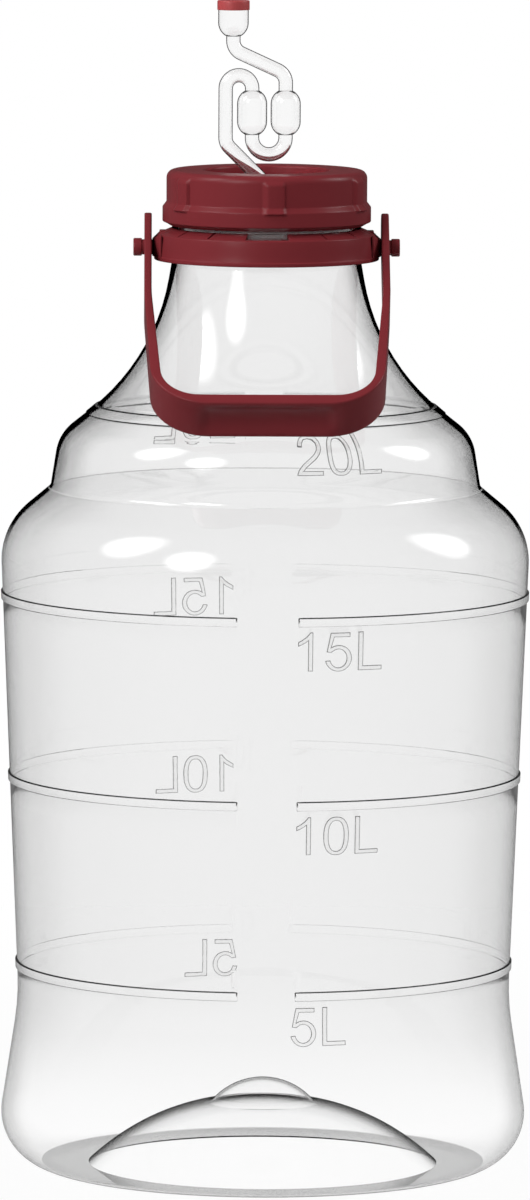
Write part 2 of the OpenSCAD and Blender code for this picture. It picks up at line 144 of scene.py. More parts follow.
def turnOutline(path, angles, shape=None):  # rings round Z for a path of (radius, height)
    rings = []
    for i, (r, z) in enumerate(path):
        if r < 1e-4:
            rings.append([(0, 0, z)])
            continue
        ring = []
        for a in angles:
            rr = shape(r, z, a, i) if shape else r
            ring.append((rr * math.cos(math.radians(a)), rr * math.sin(math.radians(a)), z))
        rings.append(ring)
    return rings


def evenAngles(count, start=0):
    return [start + 360 * i / count for i in range(count)]


def turnPiece(name, path, columns=128, closed=False, sharp=40):
    return bridgeRings(name, turnOutline(path, evenAngles(columns)), closed=closed, sharp=sharp)


def addBevel(piece, width, segments=3, angle=40):
    bevel = piece.modifiers.new("softEdges", "BEVEL")
    bevel.width, bevel.segments, bevel.limit_method = width * mm, segments, "ANGLE"
    bevel.angle_limit = math.radians(angle)
    bevel.harden_normals = False
    return piece


def plainCopy(made, name, sharp=None):  # what the modifiers give, as a plain mesh
    mesh = bpy.data.meshes.new_from_object(made.evaluated_get(bpy.context.evaluated_depsgraph_get()))
    mesh.name = name
    if sharp:
        mesh.shade_smooth()
        mesh.set_sharp_from_angle(angle=math.radians(sharp))
    old, materials = made.data, [m for m in made.data.materials if m] if made.type == "MESH" else []
    bpy.data.objects.remove(made)
    piece = bpy.data.objects.new(name, mesh)
    scene.collection.objects.link(piece)
    return piece


def joinPieces(name, pieces):
    bm = bmesh.new()
    for piece in pieces:
        bm.from_mesh(piece.data)
        bpy.data.objects.remove(piece)
    mesh = bpy.data.meshes.new(name)
    bm.to_mesh(mesh)
    bm.free()
    mesh.set_sharp_from_angle(angle=math.radians(40))
    made = bpy.data.objects.new(name, mesh)
    scene.collection.objects.link(made)
    return made


def dress(piece, materials, slot, body, *replaced):
    kept = [face.material_index for face in piece.data.polygons]
    piece.data.materials.clear()
    for material in materials if isinstance(materials, list) else [materials]:
        piece.data.materials.append(material)
    piece.data.polygons.foreach_set("material_index", kept if isinstance(materials, list) else [0] * len(kept))
    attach(piece, body)
    if replaced:
        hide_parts(*replaced)
    return piece


# Node trees

def addNode(tree, kind, values=None, **settings):
    made = tree.nodes.new(kind)
    for key, value in settings.items():
        setattr(made, key, value)
    for socket, value in (values or {}).items():
        if isinstance(value, bpy.types.NodeSocket):
            tree.links.new(value, made.inputs[socket])
        else:
            made.inputs[socket].default_value = value
    return made


def mathNode(tree, operation, a, b=0.0, c=0.0, clamp=False):
    return addNode(tree, "ShaderNodeMath", {0: a, 1: b, 2: c}, operation=operation, use_clamp=clamp).outputs[0]


def newTree(name, inputs):
    tree = bpy.data.node_groups.new(name, "GeometryNodeTree")
    tree.interface.new_socket("Geometry", in_out="INPUT", socket_type="NodeSocketGeometry")
    for label, kind, value in inputs:
        socket = tree.interface.new_socket(label, in_out="INPUT", socket_type="NodeSocket" + kind)
        if value is not None:
            socket.default_value = value
    tree.interface.new_socket("Geometry", in_out="OUTPUT", socket_type="NodeSocketGeometry")
    return tree, tree.nodes.new("NodeGroupInput").outputs, tree.nodes.new("NodeGroupOutput").inputs


def growPiece(name, tree, values, base=None, sharp=40):  # runs a tree and keeps its result as a mesh
    carrier = base or bpy.data.objects.new(name + "Base", bpy.data.meshes.new(name + "Base"))
    if not base:
        scene.collection.objects.link(carrier)
    modifier = carrier.modifiers.new(name, "NODES")
    modifier.node_group = tree
    for item in tree.interface.items_tree:
        if item.in_out == "INPUT" and item.name in values:
            modifier[item.identifier] = values[item.name]
    return plainCopy(carrier, name, sharp)


# Surface patterns that more than one material uses

def shaderGroup(name, inputs, outputs):
    tree = bpy.data.node_groups.new(name, "ShaderNodeTree")
    for label, kind, value in inputs:
        tree.interface.new_socket(label, in_out="INPUT", socket_type="NodeSocket" + kind).default_value = value
    for label, kind in outputs:
        tree.interface.new_socket(label, in_out="OUTPUT", socket_type="NodeSocket" + kind)
    return tree, tree.nodes.new("NodeGroupInput").outputs, tree.nodes.new("NodeGroupOutput").inputs


def makeGrain():  # the fine skin of moulded plastic and rubber
    tree, given, out = shaderGroup("mouldedGrain", [
        ("Grain Scale", "Float", 900.0), ("Cloud Scale", "Float", 30.0), ("Spread", "Float", 0.08),
        ("Roughness", "Float", 0.4), ("Colour", "Color", (0.5, 0.5, 0.5, 1)), ("Darker", "Color", (0.4, 0.4, 0.4, 1))],
        [("Colour", "Color"), ("Roughness", "Float"), ("Height", "Float")])
    where = addNode(tree, "ShaderNodeTexCoord").outputs["Object"]
    grain = addNode(tree, "ShaderNodeTexNoise", {"Vector": where, "Scale": given["Grain Scale"], "Detail": 3.0})
    cloud = addNode(tree, "ShaderNodeTexNoise", {"Vector": where, "Scale": given["Cloud Scale"], "Detail": 4.0, "Roughness": 0.6})
    swing = mathNode(tree, "MULTIPLY", mathNode(tree, "SUBTRACT", cloud.outputs[0], 0.5), given["Spread"])
    rough = mathNode(tree, "ADD", given["Roughness"], swing)
    speck = mathNode(tree, "MULTIPLY", mathNode(tree, "SUBTRACT", grain.outputs[0], 0.5), mathNode(tree, "MULTIPLY", given["Spread"], 0.5))
    mixed = addNode(tree, "ShaderNodeMix", {0: cloud.outputs[0], 6: given["Darker"], 7: given["Colour"]}, data_type="RGBA")
    tree.links.new(mixed.outputs[2], out["Colour"])
    tree.links.new(mathNode(tree, "ADD", rough, speck), out["Roughness"])
    tree.links.new(grain.outputs[0], out["Height"])
    return tree


def makeWaves():  # the slow waves of a blown or drawn clear wall
    tree, given, out = shaderGroup("wallWaves", [
        ("Wave Scale", "Float", 14.0), ("Stretch", "Float", 0.35), ("Fine Scale", "Float", 160.0), ("Fine Share", "Float", 0.06)],
        [("Height", "Float"), ("Mask", "Float")])
    where = addNode(tree, "ShaderNodeTexCoord").outputs["Object"]
    size = addNode(tree, "ShaderNodeCombineXYZ", {0: 1.0, 1: 1.0, 2: given["Stretch"]}).outputs[0]
    pulled = addNode(tree, "ShaderNodeVectorMath", {0: where, 1: size}, operation="MULTIPLY").outputs[0]
    wave = addNode(tree, "ShaderNodeTexNoise", {"Vector": pulled, "Scale": given["Wave Scale"], "Detail": 1.5})
    fine = addNode(tree, "ShaderNodeTexNoise", {"Vector": where, "Scale": given["Fine Scale"], "Detail": 2.0})
    height = mathNode(tree, "MULTIPLY_ADD", fine.outputs[0], given["Fine Share"], wave.outputs[0])
    tree.links.new(height, out["Height"])
    tree.links.new(wave.outputs[0], out["Mask"])
    return tree


grainGroup, waveGroup = makeGrain(), makeWaves()


def newMaterial(name):
    material = bpy.data.materials.new(name)
    material.use_nodes = True
    tree = material.node_tree
    return material, tree, tree.nodes["Principled BSDF"], tree.nodes["Material Output"]


def solidPlastic(name, colour, darker, roughness, grain=900, bump=0.06, spread=0.08, specular=0.5):
    material, tree, skin, out = newMaterial(name)
    group = addNode(tree, "ShaderNodeGroup", node_tree=grainGroup)
    for label, value in {"Grain Scale": grain, "Spread": spread, "Roughness": roughness, "Colour": (*colour, 1), "Darker": (*darker, 1)}.items():
        group.inputs[label].default_value = value
    tree.links.new(group.outputs["Colour"], skin.inputs["Base Color"])
    tree.links.new(group.outputs["Roughness"], skin.inputs["Roughness"])
    bumpNode = addNode(tree, "ShaderNodeBump", {"Height": group.outputs["Height"], "Strength": bump, "Distance": 0.0002})
    tree.links.new(bumpNode.outputs[0], skin.inputs["Normal"])
    skin.inputs["Specular IOR Level"].default_value = specular
    return material


# The tint stops are (how far the surface turns away, grey): the wall's light grey where it faces the view, then painted
# shade that darkens it as it turns away; the second list holds low on the jar.
# The painted dark rim starts where the surface turns away by more than rimAt, given as (height, turn).
def clearPlastic(name, stops, lowStops=None, blendHeights=(0.32, 0.36), rimAt=None, rimHeights=(0.3, 0.48), rimFrom=0.32,
                 rimShare=1.0, rimSoft=0.015, lowClear=0.0, wave=0.1, ior=(1.5, 1.12), iorHeights=(0.03, 0.11), shadow=0.93):
    material, tree, skin, out = newMaterial(name)
    facing = addNode(tree, "ShaderNodeLayerWeight", {"Blend": 0.5}).outputs["Facing"]
    height = addNode(tree, "ShaderNodeSeparateXYZ", {0: addNode(tree, "ShaderNodeTexCoord").outputs["Object"]}).outputs[2]

    def stopRamp(source, places, interpolation="EASE"):
        made = addNode(tree, "ShaderNodeValToRGB", {0: source})
        made.color_ramp.interpolation = interpolation
        elements = made.color_ramp.elements
        while len(elements) < len(places):
            elements.new(0.5)
        for element, (place, grey) in zip(elements, places):
            element.position, element.color = place, (grey, grey, grey, 1)
        return made.outputs[0]
    colour, dark = stopRamp(facing, stops), None
    if lowStops:
        share = addNode(tree, "ShaderNodeMapRange", {0: height, 1: blendHeights[0], 2: blendHeights[1]}).outputs[0]
        colour = addNode(tree, "ShaderNodeMix", {0: share, 6: stopRamp(facing, lowStops), 7: colour}, data_type="RGBA").outputs[2]
    # painted shade: a near-black sheet mixed in at the edges where the wall turns away
    if rimAt:
        low, high = rimHeights
        level = addNode(tree, "ShaderNodeMapRange", {0: height, 1: low, 2: high}).outputs[0]
        start = stopRamp(level, [((z - low) / (high - low), turn) for z, turn in rimAt], "LINEAR")
        past = mathNode(tree, "SUBTRACT", facing, start)
        rim = addNode(tree, "ShaderNodeMapRange", {0: past, 1: -rimSoft, 2: rimSoft}, interpolation_type="SMOOTHSTEP").outputs[0]
        above = addNode(tree, "ShaderNodeMapRange", {0: height, 1: rimFrom, 2: rimFrom + 0.012}).outputs[0]
        dark = mathNode(tree, "MULTIPLY", mathNode(tree, "MULTIPLY", rim, above), rimShare)
    # painted brightness: near the bottom the wall turns clear white where it faces the view
    lowest = addNode(tree, "ShaderNodeMapRange", {0: height, 1: 0.09, 2: 0.03, 3: 0.0, 4: 1.0}, interpolation_type="SMOOTHSTEP").outputs[0]
    turned = addNode(tree, "ShaderNodeMapRange", {0: facing, 1: 0.55, 2: 0.75, 3: lowClear, 4: 0.0}, interpolation_type="SMOOTHSTEP").outputs[0]
    colour = addNode(tree, "ShaderNodeMix", {0: mathNode(tree, "MULTIPLY", lowest, turned), 6: colour, 7: (1, 1, 1, 1)}, data_type="RGBA").outputs[2]
    tree.links.new(colour, skin.inputs["Base Color"])
    group = addNode(tree, "ShaderNodeGroup", node_tree=waveGroup)
    bumpNode = addNode(tree, "ShaderNodeBump", {"Height": group.outputs["Height"], "Strength": wave, "Distance": 0.001})
    tree.links.new(bumpNode.outputs[0], skin.inputs["Normal"])
    bend = addNode(tree, "ShaderNodeMapRange", {0: height, 1: iorHeights[0], 2: iorHeights[1], 3: ior[1], 4: ior[0]}, interpolation_type="SMOOTHSTEP").outputs[0]
    finishClear(tree, skin, out, bend, shadow, dark)
    return material


def finishClear(tree, skin, out, ior, shadow, dark=None):  # clear, light for shadows, with a share of painted dark rim
    skin.inputs["Transmission Weight"].default_value = 1.0
    skin.inputs["Metallic"].default_value = 0.0
    skin.inputs["Roughness"].default_value = 0.0
    if isinstance(ior, float):
        skin.inputs["IOR"].default_value = ior
    else:
        tree.links.new(ior, skin.inputs["IOR"])
    through = addNode(tree, "ShaderNodeBsdfTransparent", {0: (shadow, shadow, shadow, 1)}).outputs[0]
    isShadow = addNode(tree, "ShaderNodeLightPath").outputs["Is Shadow Ray"]
    body = skin.outputs[0]
    if dark:
        # the near-black sheet of the painted dark rim
        paintedRimSheet = addNode(tree, "ShaderNodeBsdfTransparent", {0: (0.006, 0.006, 0.007, 1)}).outputs[0]
        body = addNode(tree, "ShaderNodeMixShader", {0: dark, 1: body, 2: paintedRimSheet}).outputs[0]
    mixed = addNode(tree, "ShaderNodeMixShader", {0: isShadow, 1: body, 2: through}).outputs[0]
    tree.links.new(mixed, out.inputs["Surface"])


# The narrow steps round bands and numerals, greyed with painted shade: upper ones dark, lower ones grey, paler when
# seen from within
def stepPlastic(name, upper, lower, within, ior=1.5, shadow=0.93):
    material, tree, skin, out = newMaterial(name)
    tilt = addNode(tree, "ShaderNodeSeparateXYZ", {0: addNode(tree, "ShaderNodeTexCoord").outputs["Normal"]}).outputs[2]
    grain = addNode(tree, "ShaderNodeTexNoise", {"Vector": addNode(tree, "ShaderNodeTexCoord").outputs["Object"], "Scale": 60.0, "Detail": 2.0})
    # painted shade by which way the step faces: upward steps darker
    up = addNode(tree, "ShaderNodeMapRange", {0: tilt, 1: -0.1, 2: 0.1}).outputs[0]
    grey = mathNode(tree, "MULTIPLY_ADD", up, upper - lower, lower)
    uneven = mathNode(tree, "MULTIPLY", grey, mathNode(tree, "MULTIPLY_ADD", grain.outputs[0], 0.8, 0.6))
    behind = addNode(tree, "ShaderNodeNewGeometry").outputs["Backfacing"]
    shade = addNode(tree, "ShaderNodeMapRange", {0: behind, 3: uneven, 4: within}).outputs[0]
    tree.links.new(addNode(tree, "ShaderNodeCombineXYZ", {0: shade, 1: shade, 2: shade}).outputs[0], skin.inputs["Base Color"])
    finishClear(tree, skin, out, ior, shadow)
    return material


finishes = {
    "red": dict(colour=(0.228, 0.029, 0.036), darker=(0.20, 0.024, 0.030), roughness=0.32, specular=0.16),
    "cap": dict(colour=(0.54, 0.078, 0.082), darker=(0.47, 0.062, 0.066), roughness=0.4, bump=0.1),
    "rubber": dict(colour=(0.075, 0.075, 0.080), darker=(0.05, 0.05, 0.055), roughness=0.65, grain=1400, bump=0.2, specular=0.35),
    # the jar's stops and rims are painted shade where the wall turns away, as clearPlastic makes them
    "jar": dict(stops=[(0, 0.94), (0.42, 0.92), (0.62, 0.60), (0.78, 0.25), (1, 0.15)],
                lowStops=[(0, 0.935), (0.3, 0.915), (0.6, 0.81), (0.85, 0.69), (1, 0.3)], lowClear=1.0,
                rimAt=[(0.33, 0.84), (0.36, 0.84), (0.376, 0.80), (0.415, 0.81), (0.44, 0.74), (0.47, 0.64)]),
    "jarInside": dict(stops=[(0, 0.94), (0.42, 0.92), (0.62, 0.72), (0.78, 0.45), (1, 0.3)],
                      lowStops=[(0, 0.935), (0.3, 0.92), (0.6, 0.84), (0.85, 0.72), (1, 0.3)], lowClear=1.0),
    "jarBase": dict(stops=[(0, 0.998), (0.6, 0.985), (0.8, 0.7), (0.93, 0.3), (1, 0.03)], wave=0.05, rimFrom=-1.0, rimShare=0.95,
                    rimSoft=0.11, rimAt=[(0.3, 0.82), (0.48, 0.82)]),
    # the foot's grey is a painted shadow, the floor's shade seen through it
    "jarFootPaintedShadow": dict(stops=[(0, 0.5), (0.6, 0.47), (1, 0.42)], wave=0.05),
    # the steps' greys are painted shade: dark lines on the band tops and the numerals, and on the crease seen from
    # behind
    "crease": dict(upper=0.9, lower=0.9, within=0.3),
    "bandStep": dict(upper=0.01, lower=0.85, within=0.93, ior=1.25),
    "numberPaintedStep": dict(upper=0.1, lower=0.25, within=0.3),
    # the airlock's stops and rims are painted shade where its walls turn away
    "airlock": dict(stops=[(0, 0.985), (0.6, 0.95), (1, 0.7)], wave=0.02, rimFrom=0.1, rimShare=0.85, rimAt=[(0.3, 0.5), (0.48, 0.5)]),
    "airlockBulb": dict(stops=[(0, 0.985), (0.6, 0.95), (1, 0.7)], wave=0.02, rimFrom=0.1, rimShare=0.85, rimAt=[(0.3, 0.64), (0.48, 0.64)]),
    "airlockInside": dict(stops=[(0, 0.985), (0.6, 0.95), (1, 0.7)], wave=0.02),
}
redPlastic = solidPlastic("redPlastic", **finishes["red"])
capPlastic = solidPlastic("capPlastic", **finishes["cap"])
darkRubber = solidPlastic("darkRubber", **finishes["rubber"])
jarPlastic = clearPlastic("clearJarPlastic", **finishes["jar"])
jarInside = clearPlastic("clearJarInside", **finishes["jarInside"])
jarBase = clearPlastic("clearJarBase", **finishes["jarBase"])
jarFootPaintedShadow = clearPlastic("clearJarFootPaintedShadow", **finishes["jarFootPaintedShadow"])
bandStep = stepPlastic("clearBandStepPaintedShade", **finishes["bandStep"])
creasePaintedLine = stepPlastic("clearCreasePaintedLine", **finishes["crease"])
numberPaintedStep = stepPlastic("clearNumberPaintedStep", **finishes["numberPaintedStep"])
airlockPlastic = clearPlastic("clearAirlockPlastic", **finishes["airlock"])
airlockBulb = clearPlastic("clearAirlockBulb", **finishes["airlockBulb"])
airlockInside = clearPlastic("clearAirlockInside", **finishes["airlockInside"])
print("materials made")


jar = {
    "corners": [(139.1, 0, 28.1), (125.8, 86.3, 121.9), (135.6, 329.1, 36.8), (109.9, 350.5, 3.9),
                (105.8, 376.6, 21.9), (57, 415.3, 109.6), (46.8, 474.6, 10)],
    "footInner": 89.2, "domeRadius": 25.6, "domeHeight": 32.2, "domeRise": 11.8, "baseBow": 5.5,
    "neckRadius": 46.8, "beadHeight": 482.8, "beadRadius": 48.3, "beadThickness": 2.8,
    "finishRadius": 46.2, "rimHeight": 508.6, "bodyWall": 0.9, "neckWall": 2.8, "thickFrom": 376.6,
    "bands": [102.4, 199.2, 292.4, 387.8], "bandHeight": 4.7, "bandProud": 0.9, "bandGap": 6.65, "bandStep": 0.5,
    "lugAngle": 8.5, "lugRadius": 49.6, "lugBottom": 477.8,
    "threadPitch": 6.0, "threadTurns": 1.6, "threadStart": 490.0, "threadDepth": 1.5,
    "columns": 180, "creaseHeight": 349.6, "creaseHalf": 0.45,
}


def jarWall(height):
    return jar["bodyWall"] + (jar["neckWall"] - jar["bodyWall"]) * ramp(height, jar["thickFrom"], jar["beadHeight"])


def jarOutline():
    rise, r = jar["domeRise"], jar["domeRadius"]
    ball = (r * r + rise * rise) / (2 * rise)
    dome = arcPoints((0, jar["domeHeight"] + rise - ball), ball, 90, 90 - math.degrees(math.asin(r / ball)), 10)
    hollow = bowedLine((r, jar["domeHeight"]), (jar["footInner"], 0), jar["baseBow"], 22)[1:]
    foot = (jar["footInner"], 0, 1.0)
    side = roundedPath([hollow[-2], foot, *jar["corners"], (jar["neckRadius"], jar["beadHeight"])], step=4)[1:]
    steps = jar["bandStep"]
    levels = [z + d for z in jar["bands"] for d in (0, steps / 2, steps, jar["bandHeight"] - steps, jar["bandHeight"] - steps / 2, jar["bandHeight"])]
    levels += [jar["lugBottom"], jar["lugBottom"] + 0.5]
    for level in levels:  # rows where the bands and lugs start and end
        k = next(i for i, (a, b) in enumerate(zip(side, side[1:])) if a[1] < level <= b[1] and a[1] > 20)
        side.insert(k + 1, (radiusAt(side[k:k + 2], level), level))
    return dome, hollow[:-1], splitPath(side, 12)


def bandMask(height, angle):
    away = abs(math.remainder(angle - 90, 180))
    over = ramp(away, jar["bandGap"] - 0.15, jar["bandGap"] + 0.15)
    for low in jar["bands"]:
        high = low + jar["bandHeight"]
        if low - 1 < height < high + 1:
            return over * min(ramp(height, low, low + jar["bandStep"]), ramp(height, high, high - jar["bandStep"]))
    return 0.0


def jarRadius(r, z, angle, i):
    if z > jar["lugBottom"] - 1 and z < jar["beadHeight"] + 1.5:
        away = abs(math.remainder(angle - 90, 180))
        grown = ramp(z, jar["lugBottom"], jar["lugBottom"] + 0.5) * ramp(away, jar["lugAngle"] + 0.2, jar["lugAngle"] - 0.2)
        return r + max(0, jar["lugRadius"] - r) * grown
    return r + jar["bandProud"] * bandMask(z, angle)


def makeJar():
    dome, hollow, side = jarOutline()
    bead, top, finish, rim = jar["beadRadius"], jar["beadHeight"], jar["finishRadius"], jar["rimHeight"]
    inner = jar["neckRadius"] - jar["neckWall"]
    neck = roundedPath([(jar["neckRadius"], top), (bead, top, 0.4), (bead, top + jar["beadThickness"], 0.8),
                        (finish, top + jar["beadThickness"] + 0.8, 0.6), (finish, rim, 0.8), (inner, rim, 0.8), (inner, top)], step=20)[1:-1]
    outer = dome + hollow + side
    inside = [p for p in offsetPath(outer, jarWall)]
    inside[0] = (0, inside[0][1])
    edges = [90 * k + s * d for k in (1, 3) for s in (-1, 1)
             for d in (jar["bandGap"] - 0.15, jar["bandGap"], jar["bandGap"] + 0.15, jar["lugAngle"] - 0.2, jar["lugAngle"] + 0.2)]
    angles = sorted(set(evenAngles(jar["columns"]) + edges))
    rings = turnOutline(outer, angles, jarRadius) + turnOutline(neck, angles)

    def insideRadius(r, z, angle, i):  # the blown wall follows the bands inside
        k = len(inside) - 1 - i
        return r + jar["bandProud"] * bandMask(outer[k][1], angle) if 60 < outer[k][1] < 460 and k > len(dome) + len(hollow) else r
    rings += turnOutline(inside[::-1], angles, insideRadius)
    base, turned = len(dome) + len(hollow), len(outer) + len(neck)

    def finish(row, column):  # 0 outside, 1 inside, 2 base, 3 the steps of the bands, with painted dark edges, 4 foot, greyed as a painted shadow, 5 crease, a painted dark line
        k = row if row < len(outer) else len(outer) - 2 - (row - turned) if row >= turned else len(outer)
        if k < base:
            return 2
        if k < len(outer) - 1 and max(outer[k][1], outer[k + 1][1]) < 1.5:
            return 4
        if row >= turned:
            return 1
        if row < len(outer) - 1:
            middle = (outer[k][1] + outer[k + 1][1]) / 2
            if abs(middle - jar["creaseHeight"]) < jar["creaseHalf"]:
                return 5
            masks = [bandMask(z, angles[(column + d) % len(angles)]) for z in (outer[k][1], outer[k + 1][1]) for d in (0, 1)]
            if max(masks) - min(masks) > 0.3 and any(z - 0.1 < middle < z + jar["bandHeight"] + 0.1 for z in jar["bands"]):
                return 3
        return 0
    return bridgeRings("jarWall", rings, sharp=60, finish=finish)


def makeThreadTree():  # a rounded thread that climbs round Z
    tree, given, out = newTree("threadTree", [
        ("Radius", "Float", 0.046), ("Pitch", "Float", 0.006), ("Turns", "Float", 1.5), ("Start", "Float", 0.49),
        ("Half Width", "Float", 0.0012), ("Material", "Material", None)])
    rise = mathNode(tree, "MULTIPLY", given["Pitch"], given["Turns"])
    spiral = addNode(tree, "GeometryNodeCurveSpiral", {"Resolution": 72, "Rotations": given["Turns"], "Start Radius": given["Radius"],
                                                       "End Radius": given["Radius"], "Height": rise, "Reverse": False}).outputs[0]
    lifted = addNode(tree, "ShaderNodeCombineXYZ", {2: given["Start"]}).outputs[0]
    placed = addNode(tree, "GeometryNodeSetPosition", {"Geometry": spiral, "Offset": lifted}).outputs[0]
    along = addNode(tree, "GeometryNodeSplineParameter").outputs["Factor"]
    fromEnd = mathNode(tree, "MINIMUM", along, mathNode(tree, "SUBTRACT", 1.0, along))
    taper = addNode(tree, "ShaderNodeMapRange", {0: fromEnd, 1: 0.0, 2: 0.06, 3: 0.05, 4: 1.0}, interpolation_type="SMOOTHSTEP").outputs[0]
    section = addNode(tree, "GeometryNodeCurvePrimitiveCircle", {"Resolution": 14, "Radius": given["Half Width"]}).outputs[0]
    swept = addNode(tree, "GeometryNodeCurveToMesh", {"Curve": placed, "Profile Curve": section, "Scale": taper, "Fill Caps": True}
                    if "Scale" in addNode(tree, "GeometryNodeCurveToMesh").inputs else {"Curve": addNode(
                        tree, "GeometryNodeSetCurveRadius", {"Curve": placed, "Radius": taper}).outputs[0], "Profile Curve": section, "Fill Caps": True}).outputs[0]
    whole = addNode(tree, "GeometryNodeRealizeInstances", {0: swept}).outputs[0]
    dressed = addNode(tree, "GeometryNodeSetMaterial", {"Geometry": whole, "Material": given["Material"]}).outputs[0]
    tree.links.new(dressed, out[0])
    return tree


threadTree = makeThreadTree()
jarPiece = makeJar()
dress(jarPiece, [jarPlastic, jarInside, jarBase, bandStep, jarFootPaintedShadow, creasePaintedLine], "clear_plastic", "jar", "jar_body")
jarThread = growPiece("jarThread", threadTree, {
    "Radius": jar["finishRadius"] * mm, "Pitch": jar["threadPitch"] * mm, "Turns": jar["threadTurns"],
    "Start": jar["threadStart"] * mm, "Half Width": jar["threadDepth"] * mm, "Material": jarPlastic})
dress(jarThread, jarPlastic, "clear_plastic", "jar")
print("jar made", len(jarPiece.data.polygons))


numbers = {
    "proud": 0.7, "edge": 0.35, "gap": 0.03, "slice": 1.5,
    "marks": [("5L", 5.6, 18.4, 79.4, 99.4), ("10L", 6.5, 25.4, 176.7, 196.2),
              ("15L", 6.5, 25.3, 269.8, 289.8), ("20L", 7.9, 32.2, 365.5, 385.2)],
}


# Outlines of the numerals in shares of the type size, as lists of points or (centre, radii, power, from, to) arcs
glyphs = {
    "1": (0.556, [[(0.372, 0), (0.285, 0), (0.285, 0.56), (0.245, 0.528), (0.18, 0.49), (0.109, 0.457), (0.109, 0.542), (0.18, 0.58),
                   (0.25, 0.635), (0.3, 0.69), (0.316, 0.719), (0.372, 0.719)]]),
    "2": (0.556, [[(0.504, 0.0845), (0.504, 0), (0.03, 0), (0.033, 0.035), (0.06, 0.11), (0.13, 0.2), (0.235, 0.29), (0.34, 0.375),
                   (0.395, 0.45), (0.409, 0.52), (0.4, 0.57), (0.35, 0.625), (0.273, 0.645), (0.2, 0.63), (0.155, 0.575), (0.14, 0.503),
                   (0.05, 0.512), (0.062, 0.58), (0.105, 0.655), (0.18, 0.705), (0.275, 0.719), (0.36, 0.712), (0.44, 0.67), (0.49, 0.6),
                   (0.502, 0.523), (0.497, 0.46), (0.455, 0.375), (0.38, 0.29), (0.27, 0.205), (0.19, 0.135), (0.152, 0.0845)]]),
    "5": (0.556, [[(0.126, 0.706), (0.057, 0.349), (0.14, 0.338), ((0.27, 0.231), (0.149, 0.168), 2, 130, -168),
                   ((0.272, 0.232), (0.243, 0.244), 2, -170, 122), (0.196, 0.622), (0.48, 0.622), (0.48, 0.706)]]),
    "0": (0.556, [[((0.2785, 0.3535), (0.2365, 0.3655), 2.4, 0, 350)], [((0.2785, 0.3535), (0.141, 0.289), 2.4, 0, 350)]]),
    "L": (0.556, [[(0.073, 0), (0.073, 0.716), (0.168, 0.716), (0.168, 0.0845), (0.521, 0.0845), (0.521, 0)]]),
}


def drawLoop(parts, across):
    loop = []
    for part in parts:
        if len(part) == 2:
            loop.append((across + part[0], part[1]))
            continue
        (x, y), (rx, ry), power, start, end = part
        count = max(6, round(abs(end - start) / 10))
        for i in range(count + 1):
            a = math.radians(start + (end - start) * i / count)
            c, s = math.cos(a), math.sin(a)
            loop.append((across + x + rx * math.copysign(abs(c) ** (2 / power), c), y + ry * math.copysign(abs(s) ** (2 / power), s)))
    return loop


def makeNumber(text, left, right, bottom, top, outline, turn):
    letters = bpy.data.curves.new("letters" + text, "CURVE")
    letters.dimensions, letters.fill_mode = "2D", "BOTH"
    across = 0
    for letter in text:
        advance, loops = glyphs[letter]
        for parts in loops:
            loop = drawLoop(parts, across)
            spline = letters.splines.new("POLY")
            spline.points.add(len(loop) - 1)
            for point, (x, y) in zip(spline.points, loop):
                point.co = (x, y, 0, 1)
            spline.use_cyclic_u = True
        across += advance
    unit = top - bottom
    scaled = 0.73 / unit  # millimetres to shares of the type size
    letters.bevel_depth = numbers["edge"] * scaled
    letters.bevel_resolution = 1
    letters.extrude = max(0.001, (numbers["proud"] / 2 - numbers["edge"]) * scaled)
    letters.offset = -letters.bevel_depth
    holder = bpy.data.objects.new("letters" + text, letters)
    scene.collection.objects.link(holder)
    flat = plainCopy(holder, "flatLetters" + text)
    bm = bmesh.new()
    bm.from_mesh(flat.data)
    bpy.data.objects.remove(flat)
    bmesh.ops.remove_doubles(bm, verts=bm.verts, dist=1e-6)
    low = [min(v.co[k] for v in bm.verts) for k in range(3)]
    high = [max(v.co[k] for v in bm.verts) for k in range(3)]
    arcLength = math.radians(right - left) * radiusAt(outline, (bottom + top) / 2)
    for v in bm.verts:
        v.co = Vector(((v.co.x - low[0]) / (high[0] - low[0]) * arcLength, (v.co.y - low[1]) / (high[1] - low[1]) * unit,
                       (v.co.z - low[2]) / (high[2] - low[2]) * numbers["proud"]))
    for axis, length in ((0, arcLength), (1, unit)):
        for k in range(1, int(length / numbers["slice"])):
            plane = Vector((0, 0, 0))
            plane[axis] = k * numbers["slice"]
            normal = Vector((0, 0, 0))
            normal[axis] = 1
            bmesh.ops.bisect_plane(bm, geom=bm.verts[:] + bm.edges[:] + bm.faces[:], plane_co=plane, plane_no=normal, dist=1e-5)
    for v in bm.verts:
        angle = math.radians(-90 + turn + left + (right - left) * v.co.x / arcLength)
        z = bottom + v.co.y
        slope = (radiusAt(outline, z + 0.5) - radiusAt(outline, z - 0.5))
        out = numbers["gap"] + v.co.z
        r = radiusAt(outline, z) + out / math.hypot(1, slope)
        v.co = Vector((r * math.cos(angle), r * math.sin(angle), z - slope * out / math.hypot(1, slope))) * mm
    made = finishMesh("number" + text + ("Back" if turn else "Front"), bm, sharp=25)
    for face in made.data.polygons:  # 0 the flats, 1 the steps round them, with painted dark edges
        z = face.center.z / mm
        flat = Vector((face.center.x, face.center.y, 0)).normalized()
        flat.z = radiusAt(outline, z - 0.5) - radiusAt(outline, z + 0.5)
        face.material_index = 0 if abs(face.normal.dot(flat.normalized())) > 0.96 else 1
    return made


sideOutline = jarOutline()[2]
for mark in numbers["marks"]:
    for turn in (0, 180):
        dress(makeNumber(*mark, sideOutline, turn), [jarInside, numberPaintedStep], "clear_plastic", "jar")
print("numbers made")


